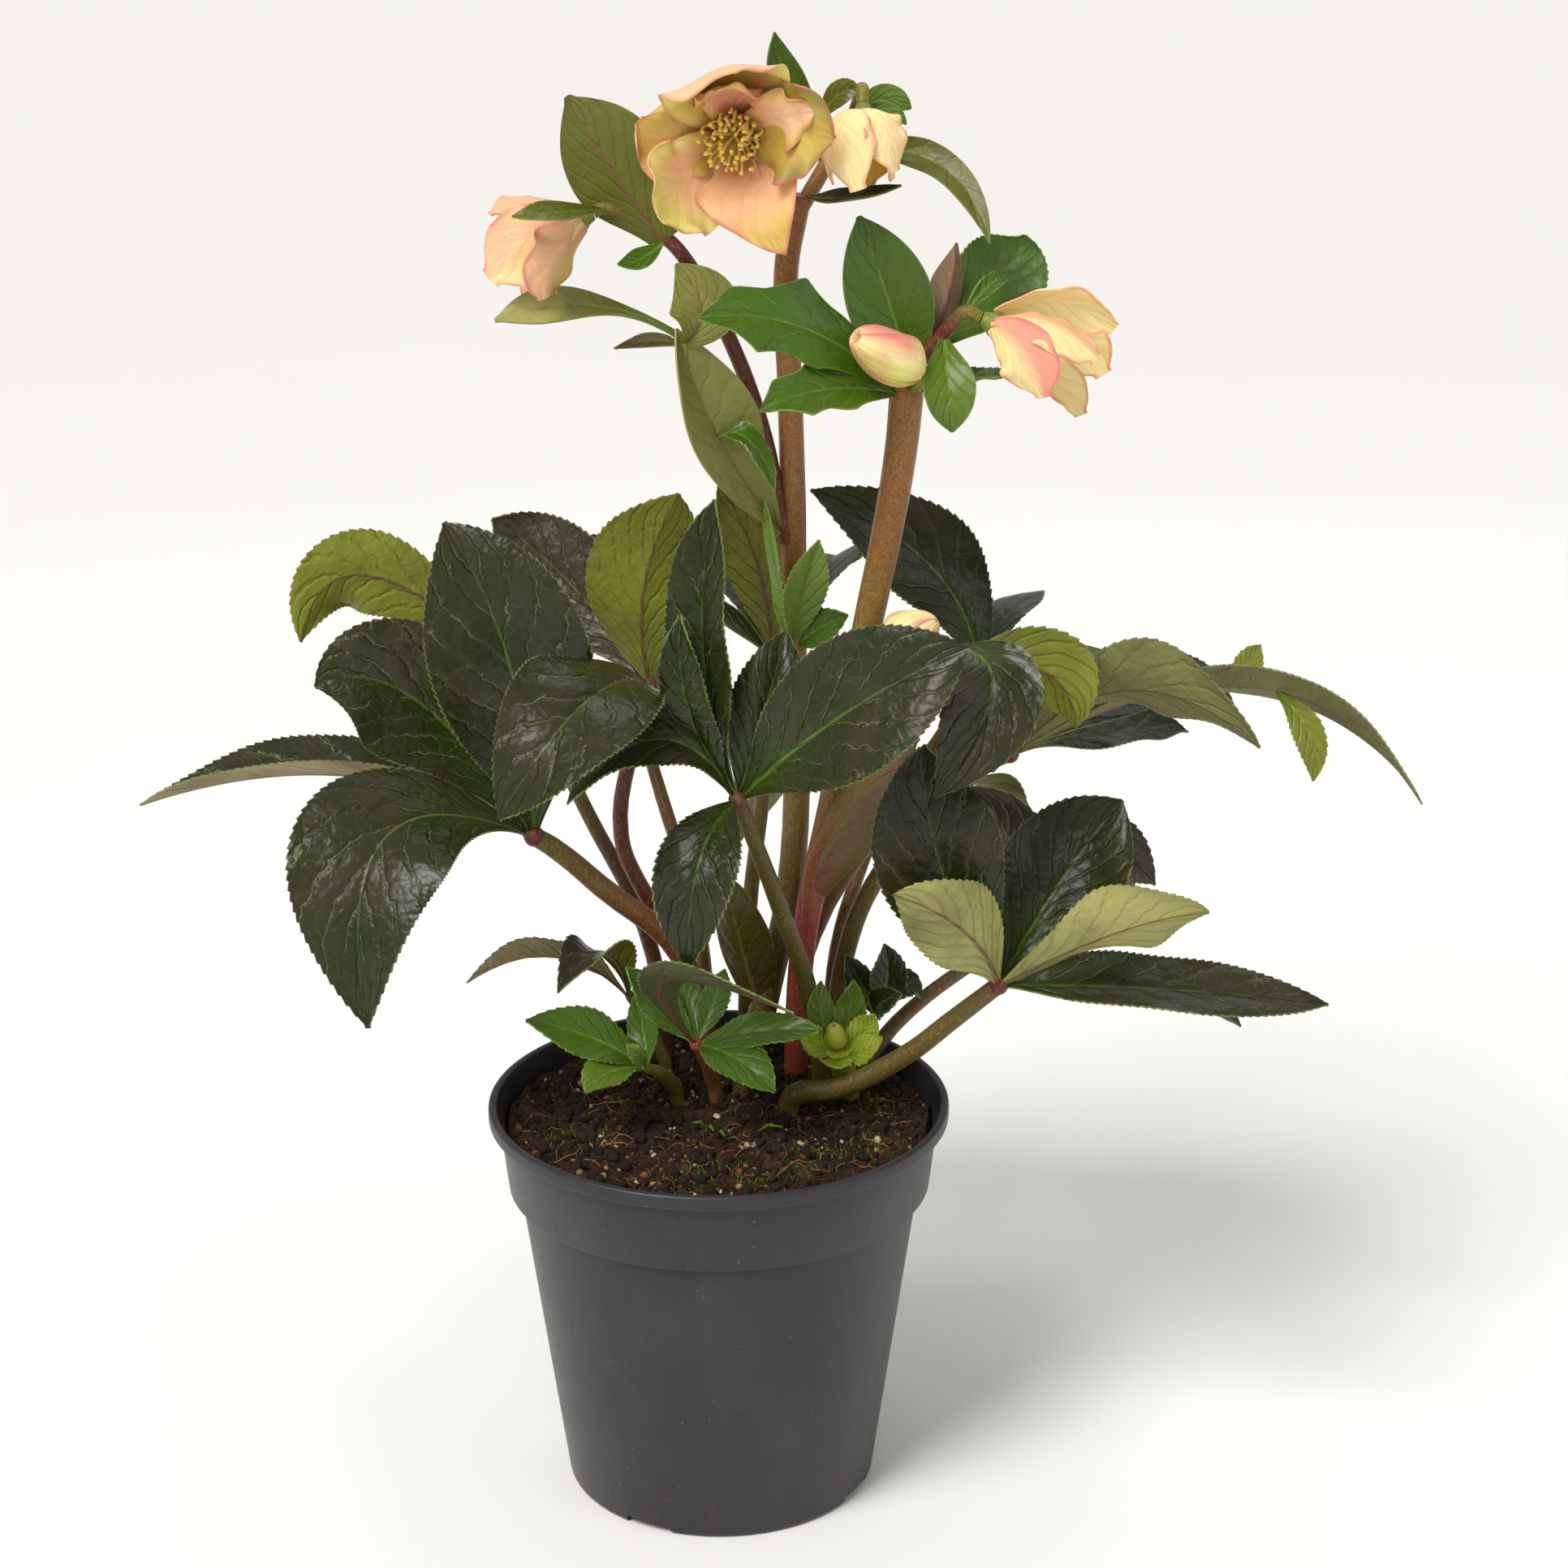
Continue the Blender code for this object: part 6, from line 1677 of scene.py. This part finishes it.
@dataclass(frozen=True)
class Bud:
    """A closed flower bud: an egg from base to tip whose surface is raised where each outer tepal laps.

    turn is in degrees round its axis. Its colour runs from low through hue to blush on its sunny side, and
    mouth is the radius of the small pit at its tip.
    """

    name: str
    slot: str
    base: Point
    tip: Point
    radius: float
    turn: float = 0.0
    hue: Hue = Hue.CREAM
    flush: float = 0.8
    blush: Hue = Hue.PEACH
    low: Hue = Hue.GREEN_CREAM
    mouth: float = 0.6

    SEGMENTS = 96
    RINGS = 40
    TEPALS = 3
    SEAM = 1e-6
    LAST_SHARE = 0.999
    TWIST = 0.5
    LAP = 0.17
    LAP_POWER = 1.5
    CLOSING = 4.0
    WRINKLE = 0.03
    GIRTH = 1.06
    TAPER = 0.28
    MOUTH_DEPTH = 2.1
    MOUTH_TINT = 0.8
    RIB_SPAN = 6.0
    RIB_ALONG = 0.6
    VEINS = 4.0
    BLUSH_START = 0.55
    BLUSH_RISE = 2.2

    def build(self) -> Piece:
        """Model the bud in place of its node."""
        start, way = Vector(self.base), Vector(self.tip) - Vector(self.base)
        alone()
        bpy.ops.mesh.primitive_uv_sphere_add(segments=self.SEGMENTS, ring_count=self.RINGS, radius=1.0)
        egg = active()
        globe = unit(places_of(egg.data))
        share = 0.5 * (globe[:, 2] + 1.0)
        turns = np.arctan2(globe[:, 1], globe[:, 0]) / (2 * pi) * self.TEPALS
        widened = (turns + self.SEAM) % 1.0 * self.SEGMENTS / (self.SEGMENTS - self.TEPALS)
        lap_share = np.minimum(widened, self.LAST_SHARE)
        angle = (np.floor(turns + self.SEAM) + lap_share - self.TWIST * share) * 2 * pi / self.TEPALS
        closing = np.minimum(1.0, self.CLOSING * share) * (1.0 - share) ** 0.5
        wrinkle = self.WRINKLE * np.sin(5.0 * share + 7.0 * lap_share)
        lap = 1.0 + self.LAP * lap_share ** self.LAP_POWER * closing + wrinkle
        girth = self.radius * (self.GIRTH - self.TAPER * share) * lap
        around = np.hypot(globe[:, 0], globe[:, 1]) * girth
        mouth = np.exp(-(around / self.mouth) ** 2) * (share > 0.5)
        height = (globe[:, 2] + 1.0) * (0.5 * way.length) - self.MOUTH_DEPTH * self.mouth * mouth
        shape = np.stack([around * np.cos(angle), around * np.sin(angle), height], 1)
        turn = Vector((0, 0, 1)).rotation_difference(way) @ Quaternion((0, 0, 1), radians(self.turn))
        placed = shape @ np.array(turn.to_matrix()).T + np.array(start)
        put(egg.data, placed * MM)

        edge = (1.0 - lap_share) * pi * girth / self.TEPALS
        flush = np.full_like(share, self.flush)
        along = np.full_like(share, self.RIB_ALONG)
        note(egg.data, "rib", np.stack([lap_share * self.RIB_SPAN, edge, along], 1))
        note(egg.data, "growth", np.stack([lap_share * self.VEINS, np.zeros_like(share), flush], 1))
        above = (placed[:, 2] - (start.z + way.z * share)) / self.radius
        blush = ramp(above, 1.0, self.BLUSH_START) * ramp(share, self.BLUSH_RISE, 0.0)
        colours = blended((self.low, self.hue, self.blush), blush)
        painted(egg.data, toward(colours, Hue.THROAT, mouth * self.MOUTH_TINT))
        return handed_over(join([dressed(egg, TEPAL_SKIN)], self.name + "_fine"), self.slot, self.name)


BUDS = (
    Bud("bud_pink", "bud", (54.4, 0.4, 322.8), (36, -11, 335), 7.2, 30.0, blush=Hue.ROSY, mouth=1.5),
    Bud("bud_low", "bud", (45.6, 7.4, 246.0), (60, 4, 254), 7.2, 40.0, flush=0.4, blush=Hue.CREAM),
    Bud("bud_green", "shoot", (33.9, 5.8, 128.4), (32.2, 2.4, 137), 3.0, hue=Hue.LIME, blush=Hue.LIME,
        low=Hue.LIME, flush=0.0),
)


@dataclass(frozen=True)
class Pot:
    """The nursery pot: a turned thin wall with a collar and a rolled lip, drain channels and holes."""

    height: float = 115.5
    rim_radius: float = 65.0
    base_radius: float = 44.0
    wall: float = 1.3
    floor: float = 4.2
    step_radius: float = 56.4
    step_height: float = 89.0
    ledge_out: float = 0.9
    ledge_rise: float = 0.4
    collar_radius: float = 59.7
    collar_height: float = 91.5
    collar_in: float = 0.5
    collar_drop: float = 0.6
    lip_height: float = 111.2
    neck_radius: float = 61.9
    lip_round: float = 0.9
    lip_wall: float = 2.4
    lip_drop: float = 0.6
    foot_round: float = 2.0
    foot_out: float = 0.3
    channel_width: float = 14.0
    channel_depth: float = 2.4
    channel_start: float = 17.0
    channel_out: float = 6.0
    channel_angle: float = 243.0
    channels: int = 4
    drain_radius: float = 3.6
    drain_ring: float = 27.0
    drain_sides: int = 32
    sides: int = 128
    arc_steps: int = 5

    def arc(self, radius: float, height: float, size: float, start: float, end: float) -> Profile:
        """Points of a rounded corner.

        Args:
            radius: How far its middle is from the axis.
            height: How high its middle is.
            size: Its own radius.
            start: The first angle, in degrees from outward towards up.
            end: The last angle.

        Returns:
            The points.
        """
        turns = np.radians(np.linspace(start, end, self.arc_steps))
        return [(radius + size * cos(turn), height + size * sin(turn)) for turn in turns]

    def outer(self) -> Profile:
        """The outside from the base's edge up over the lip."""
        r, top, foot = self.lip_round, self.height, self.base_radius - self.foot_round
        return [
            (foot, 0.0),
            *self.arc(foot + self.foot_out, self.foot_round, self.foot_round, -60, -8),
            (self.step_radius, self.step_height),
            (self.step_radius + self.ledge_out, self.step_height + self.ledge_rise),
            (self.collar_radius - self.collar_in, self.collar_height - self.collar_drop),
            (self.collar_radius, self.collar_height),
            (self.neck_radius, self.lip_height - self.lip_drop),
            *self.arc(self.rim_radius - r, self.lip_height + r, r, -80, 0),
            *self.arc(self.rim_radius - r, top - r, r, 0, 90),
            *self.arc(self.rim_radius - self.lip_wall + r, top - r, r, 90, 180),
        ]

    def inner(self) -> Profile:
        """The inside from the lip down to the floor."""
        wall = self.wall
        taper = (self.step_radius - self.base_radius) * self.floor / self.step_height
        return [
            (self.neck_radius - wall, self.lip_height - self.lip_drop),
            (self.collar_radius - wall, self.collar_height + 0.5 * wall),
            (self.step_radius - wall, self.step_height + 0.5 * wall),
            (self.base_radius + taper - wall, self.floor),
        ]

    def build(self) -> Piece:
        """Model the pot in place of its node."""
        body = turned(self.outer() + self.inner(), self.sides)
        for index in range(self.channels):
            angle = radians(self.channel_angle + index * 360.0 / self.channels)
            self.cut(body, self.channel(angle))
            self.cut(body, self.drain(angle))
        return handed_over(join([dressed(body, PotFinish())], "pot_fine"), "pot", "pot")

    def channel(self, angle: float) -> Piece:
        """The cutter of the drain channel at an angle under the base."""
        length = self.base_radius + self.channel_out - self.channel_start
        alone()
        bpy.ops.mesh.primitive_cube_add(size=1.0)
        cutter = active()
        shape = places_of(cutter.data) * (length, self.channel_width, 2 * self.channel_depth)
        shape[:, 0] += self.channel_start + 0.5 * length
        put(cutter.data, shape @ np.array(Matrix.Rotation(angle, 3, "Z")).T * MM)
        return cutter

    def drain(self, angle: float) -> Piece:
        """The cutter of the drain hole at an angle in the base."""
        alone()
        bpy.ops.mesh.primitive_cylinder_add(vertices=self.drain_sides, radius=self.drain_radius * MM,
                                            depth=4 * self.floor * MM)
        cutter = active()
        spot = np.array((self.drain_ring * cos(angle), self.drain_ring * sin(angle), 0.0)) * MM
        put(cutter.data, places_of(cutter.data) + spot)
        return cutter

    def cut(self, body: Piece, cutter: Piece) -> None:
        """Cut one shape out of the pot and drop the cutter."""
        apply_modifier(body, "BOOLEAN", operation="DIFFERENCE", object=cutter, solver="EXACT")
        bpy.data.objects.remove(cutter, do_unlink=True)


def turned(profile: Profile, sides: int) -> Piece:
    """A closed solid turned from a profile: a disc extruded ring by ring, whose last ring is the other end.

    Args:
        profile: The rings, as radius and height in millimetres.
        sides: How many faces it has round.

    Returns:
        The solid.
    """
    alone()
    bpy.ops.mesh.primitive_circle_add(vertices=sides, radius=profile[0][0] * MM, fill_type="NGON",
                                      location=(0, 0, profile[0][1] * MM))
    body = active()
    bpy.ops.object.transform_apply(location=True, rotation=False, scale=False)
    bpy.ops.object.mode_set(mode="EDIT")
    bpy.ops.mesh.select_all(action="SELECT")
    for (radius, height), (wider, higher) in zip(profile, profile[1:]):
        bpy.ops.mesh.extrude_region_move(TRANSFORM_OT_translate={"value": (0, 0, (higher - height) * MM)})
        share = wider / radius
        bpy.ops.transform.resize(value=(share, share, 1.0))
    clean()
    return body


@dataclass(frozen=True)
class Soil:
    """The potting soil: a lumpy top on a body that fills the pot, with loose bits, moss and sprouts."""

    edge_height: float = 107.5
    rim_height: float = 110.6
    lump: float = 3.2
    top_rings: int = 64
    sides: int = 144

    TOP = 112.0
    ROOT_DEPTH = 12.7
    RIM = 60.1
    SEED = 11
    SINK = 0.6
    LUMP_SCALE = 0.055
    CRUMB_SCALE = 0.33
    CRUMB_HEIGHT = 0.8
    CRUMB_SHIFT = Vector((7, 3, 1))
    FLOOR = 4.5
    AXIS_RADIUS = 0.5
    FOOT_GAP = 0.8
    WALL_GAP = 0.3
    LEDGE_GAP = 1.2
    SPREAD = 0.97
    CRUMBS = 1700
    CRUMB_KINDS = ((0.8, Tint.CRUMB), (0.9, Tint.CLAY), (0.965, Tint.BARK), (1.0, Tint.PERLITE))
    CRUMB_SIZES = (0.35, 1.5)
    GRIT_SIZES = (0.3, 0.9)
    FIBRES = 230
    FIBRE_STEPS = 6
    TUFTS = 900
    TUFT_PATCHES = ((-40, -16), (-30, 6), (0, -38), (12, -44), (28, -30), (40, -22), (-14, -48), (48, 4))
    TUFT_SPREAD = (5.0, 4.0)
    SPROUTS = (((-3, -14), (-7, -16)), ((-3, -14), (-1, -22)), ((0, -15), (2, -24)), ((10, -16), (18, -22)))
    SPROUT_RISE = 3.5
    SPROUT_BOW = 1.6

    def height(self, x: float, y: float) -> float:
        """The soil's height at a place, in millimetres."""
        radius = (x * x + y * y) ** 0.5
        level = self.TOP - self.SINK - (radius / self.RIM) ** 4 * (self.TOP - self.rim_height)
        spot = Vector((x, y, 0.0))
        lumps = noise.fractal(spot * self.LUMP_SCALE, 1.0, 2.0, 4) * self.lump
        crumbs = noise.fractal(spot * self.CRUMB_SCALE + self.CRUMB_SHIFT, 0.8, 2.1, 3) * self.CRUMB_HEIGHT
        return level + lumps + crumbs

    def body(self) -> Piece:
        """The top as rings of faces, on sides and a floor that stand clear of the pot."""
        pot = Pot()
        clear = pot.wall + self.WALL_GAP
        profile = [
            (self.AXIS_RADIUS, self.FLOOR),
            (pot.base_radius - self.FOOT_GAP, self.FLOOR),
            (pot.step_radius - clear, pot.step_height + self.LEDGE_GAP),
            (pot.collar_radius - clear, pot.collar_height + self.LEDGE_GAP),
            (self.RIM, self.edge_height),
        ]
        profile += [(self.RIM * (1.0 - (index + 1) / (self.top_rings + 0.5)), self.edge_height)
                    for index in range(self.top_rings)]
        body = turned(profile, self.sides)
        points = places_of(body.data) / MM
        for row in points:
            if row[2] > self.edge_height - 0.5 and np.hypot(row[0], row[1]) < self.RIM - 0.2:
                row[2] = self.height(row[0], row[1])
        put(body.data, points * MM)
        return dressed(body, SoilFinish())

    def build(self) -> None:
        """Model the soil in place of its node, and what lies on it."""
        handed_over(join([self.body()], "soil_fine"), "soil", "soil")
        rng = np.random.default_rng(self.SEED)
        handed_over(self.crumbs(rng), "soil")
        handed_over(self.fibres(rng), "soil")
        handed_over(self.moss(rng), "soil")
        handed_over(self.sprouts(), "soil")

    def spot(self, rng: np.random.Generator) -> Rows:
        """A random place on the soil."""
        radius, turn = self.RIM * self.SPREAD * rng.random() ** 0.5, 2 * pi * rng.random()
        x, y = radius * cos(turn), radius * sin(turn)
        return np.array((x, y, self.height(x, y)))

    def stone(self) -> tuple[Rows, Rows]:
        """The points and triangles of the round stone that the crumbs are shaped from."""
        alone()
        bpy.ops.mesh.primitive_ico_sphere_add(subdivisions=2, radius=1.0)
        stone = active()
        points = places_of(stone.data)
        faces = np.array([tuple(face.vertices) for face in stone.data.polygons])
        bpy.data.objects.remove(stone, do_unlink=True)
        return points, faces

    def crumbs(self, rng: np.random.Generator) -> Piece:
        """Peat crumbs, with a few grains of clay, bark and perlite among them."""
        shape, faces = self.stone()
        copies = []
        for _ in range(self.CRUMBS):
            kind = rng.random()
            tint = next(tint for limit, tint in self.CRUMB_KINDS if kind < limit)
            size = rng.uniform(*(self.CRUMB_SIZES if tint is Tint.CRUMB else self.GRIT_SIZES))
            stretch = rng.uniform(0.6, 1.4, 3) * size
            dents = 1.0 + 0.3 * np.sin(shape @ rng.normal(size=(3, 3)) * 3.0).mean(axis=1, keepdims=True)
            turn = np.array(Quaternion(rng.normal(size=4)).normalized().to_matrix())
            spot = self.spot(rng) + (0, 0, stretch[2] * 0.25)
            colour = np.array(tint.value) * rng.uniform(0.6, 1.3)
            copies.append(((shape * dents * stretch) @ turn.T + spot, faces, colour))
        return dressed(tiled("soil_crumbs", copies), GRIT)

    def fibres(self, rng: np.random.Generator) -> Piece:
        """Root and coir fibres that lie in loose bends."""
        copies = []
        for index in range(self.FIBRES):
            start = self.spot(rng)
            turn, bend = rng.uniform(0, 2 * pi), rng.normal(0.0, 0.5)
            length, radius = rng.uniform(4.0, 15.0), rng.uniform(0.07, 0.2)
            rise = rng.uniform(0.2, 1.6)
            line = []
            for step in range(self.FIBRE_STEPS + 1):
                line.append(start + (0, 0, 0.25 + rise * sin(pi * step / self.FIBRE_STEPS)))
                start = start + np.array((cos(turn), sin(turn), 0.0)) * length / self.FIBRE_STEPS
                if np.hypot(start[0], start[1]) > self.RIM - 1.0:
                    break
                start[2] = self.height(start[0], start[1])
                turn += bend
            if len(line) < 3:
                continue
            tint = Tint.COIR if index % 3 else Tint.ROOT
            colour = np.array(tint.value) * rng.uniform(0.6, 1.2)
            copies.append((*strand(np.array(line), radius), colour))
        return dressed(tiled("soil_fibres", copies), GRIT)

    def moss(self, rng: np.random.Generator) -> Piece:
        """Tufts of moss and algae in patches."""
        copies = []
        for index in range(self.TUFTS):
            x, y = self.TUFT_PATCHES[index % len(self.TUFT_PATCHES)]
            x, y = x + rng.normal(0.0, self.TUFT_SPREAD[0]), y + rng.normal(0.0, self.TUFT_SPREAD[1])
            if np.hypot(x, y) > self.RIM - 1.5:
                continue
            foot = np.array((x, y, self.height(x, y) - 0.2))
            lean = np.array((rng.normal(0, 0.5), rng.normal(0, 0.5), 1.0))
            tip = foot + unit(lean) * rng.uniform(0.7, 1.9)
            line = np.array([foot, (foot + tip) / 2 + rng.normal(0, 0.12, 3), tip])
            colour = np.array(Tint.MOSS.value) * rng.uniform(0.45, 1.3)
            copies.append((*strand(line, rng.uniform(0.12, 0.26)), colour))
        return dressed(tiled("soil_moss", copies), GRIT)

    def sprouts(self) -> Piece:
        """The few thin grass seedlings in front of the stems."""
        copies = []
        for foot, tip in self.SPROUTS:
            low = np.array((*foot, self.height(*foot) - 0.5))
            high = np.array((*tip, self.height(*tip) + self.SPROUT_RISE))
            line = np.array([low, low * 0.5 + high * 0.5 + (0, 0, self.SPROUT_BOW), high])
            copies.append((*strand(line, 0.5, 6), np.array(Tint.SPROUT.value)))
        return dressed(tiled("soil_sprouts", copies), GRIT)


def strand(line: Rows, radius: float, sides: int = 4) -> tuple[Rows, Rows]:
    """A thin closed strand that tapers to its ends.

    Args:
        line: The points on its line, in millimetres.
        radius: Its radius at the thickest place.
        sides: How many faces it has round.

    Returns:
        Its points and its triangles.
    """
    ways = unit(np.gradient(line, axis=0))
    flat = unit(np.cross(ways, STRAND_LEAN))
    high = np.cross(ways, flat)
    turns = 2 * pi * np.arange(sides) / sides
    taper = np.sin(pi * np.linspace(0.12, 0.88, len(line)))[:, None, None] * radius
    rings = line[:, None] + taper * (flat[:, None] * np.cos(turns)[None, :, None]
                                     + high[:, None] * np.sin(turns)[None, :, None])
    points = np.concatenate([rings.reshape(-1, 3), line[:1], line[-1:]])
    first_end, last_end = len(points) - 2, len(points) - 1
    last = (len(line) - 1) * sides
    faces = []
    for start in range(0, last, sides):
        for side in range(sides):
            a, b = start + side, start + (side + 1) % sides
            faces += [(a, b, b + sides), (a, b + sides, a + sides)]
    for side in range(sides):
        after = (side + 1) % sides
        faces += [(first_end, after, side), (last_end, last + side, last + after)]
    return points, np.array(faces)


def tiled(name: str, copies: Sequence[tuple[Rows, Rows, Rows]]) -> Piece:
    """One mesh of many small closed shapes, each with its own colour.

    Args:
        name: The piece's name.
        copies: For each shape its points in millimetres, its triangles and its colour.

    Returns:
        The piece.
    """
    points = np.concatenate([copy[0] for copy in copies]) * MM
    starts = np.cumsum([0, *(len(copy[0]) for copy in copies[:-1])])
    faces = np.concatenate([copy[1] + start for copy, start in zip(copies, starts)])
    mesh = bpy.data.meshes.new(name)
    mesh.from_pydata(points.tolist(), [], faces.tolist())
    piece = bpy.data.objects.new(name, mesh)
    bpy.context.scene.collection.objects.link(piece)
    painted(mesh, np.concatenate([np.tile(copy[2], (len(copy[0]), 1)) for copy in copies]))
    choose([piece])
    clean()
    bpy.ops.object.shade_smooth()
    return piece


@dataclass(frozen=True)
class Lamp:
    """A square soft light: its place, its width in millimetres and its power in watts."""

    name: str
    place: Point
    size: float
    power: float


@dataclass(frozen=True)
class Studio:
    """The pale floor, the soft lights and the camera at the photograph's angle."""

    camera_place: Point = (18.4, -850.0, 495.0)
    camera_down: float = 18.6
    lens: float = 75.26
    sensor: float = 36.0
    floor_size: float = 120.0
    sun_energy: float = 2.3
    sun_angle: float = 24.0
    sun_place: Point = (-0.55, -0.7, 1.15)
    sun_colour: Colour = (1.0, 0.97, 0.92)
    surround: float = 0.48
    surround_colour: Colour = (1.0, 0.985, 0.955)
    lamp_target: Point = (20, 0, 230)
    lamps: tuple[Lamp, ...] = (
        Lamp("key", (-700, -900, 900), 420.0, 3.2),
        Lamp("fill", (1000, -700, 700), 600.0, 1.4),
        Lamp("back", (200, 700, 1100), 800.0, 2.0),
    )

    def build(self) -> None:
        """Set up the stage."""
        self.floor()
        self.world()
        self.sun()
        for lamp in self.lamps:
            self.light(lamp)
        self.camera()

    def floor(self) -> None:
        """The plain floor."""
        alone()
        bpy.ops.mesh.primitive_plane_add(size=self.floor_size)
        plane = active()
        plane.name = "floor"
        bench = Bench("floor")
        tone = bench.mix(bench.noise(3.0, 2.0), Tint.FLOOR, Tint.BRIGHT_FLOOR)
        plane.data.materials.append(bench.done(Base_Color=tone, Roughness=0.9))

    def world(self) -> None:
        """An even white surround."""
        world = bpy.data.worlds.new("surround")
        bpy.context.scene.world = world
        world.use_nodes = True
        sky = world.node_tree.nodes["Background"]
        sky.inputs["Color"].default_value = (*self.surround_colour, 1.0)
        sky.inputs["Strength"].default_value = self.surround
        bpy.context.scene.view_settings.view_transform = "Standard"

    def sun(self) -> None:
        """A broad soft light from the upper left that also whitens the far floor."""
        data = bpy.data.lights.new("sun", "SUN")
        data.energy = self.sun_energy
        data.angle = radians(self.sun_angle)
        data.color = self.sun_colour
        lamp = bpy.data.objects.new("sun", data)
        lamp.rotation_euler = Vector(self.sun_place).to_track_quat("Z", "Y").to_euler()
        bpy.context.scene.collection.objects.link(lamp)

    def light(self, lamp: Lamp) -> None:
        """Add a lamp that looks at the middle of the plant."""
        data = bpy.data.lights.new(lamp.name, "AREA")
        data.shape = "SQUARE"
        data.size = lamp.size * MM
        data.energy = lamp.power
        made = bpy.data.objects.new(lamp.name, data)
        made.location = Vector(lamp.place) * MM
        way = Vector(self.lamp_target) * MM - made.location
        made.rotation_euler = way.to_track_quat("-Z", "Y").to_euler()
        bpy.context.scene.collection.objects.link(made)

    def camera(self) -> None:
        """The camera."""
        data = bpy.data.cameras.new("camera")
        data.sensor_fit = "HORIZONTAL"
        data.sensor_width = self.sensor
        data.lens = self.lens
        camera = bpy.data.objects.new("camera", data)
        camera.location = Vector(self.camera_place) * MM
        camera.rotation_euler = (radians(90.0 - self.camera_down), 0.0, 0.0)
        bpy.context.scene.collection.objects.link(camera)
        bpy.context.scene.camera = camera


def main() -> None:
    """Build every piece of the look round the frame."""
    logging.basicConfig(level=logging.INFO, format="%(name)s %(message)s")
    alone()
    Studio().build()
    Pot().build()
    Soil().build()
    for plant in (STEM_CENTER, STEM_RIGHT, *LEAVES):
        plant.build()
    for bloom in BLOOMS:
        bloom.crown()
        bloom.heart()
    for bud in BUDS:
        bud.build()
    alone()


if __name__ == "__main__":
    main()
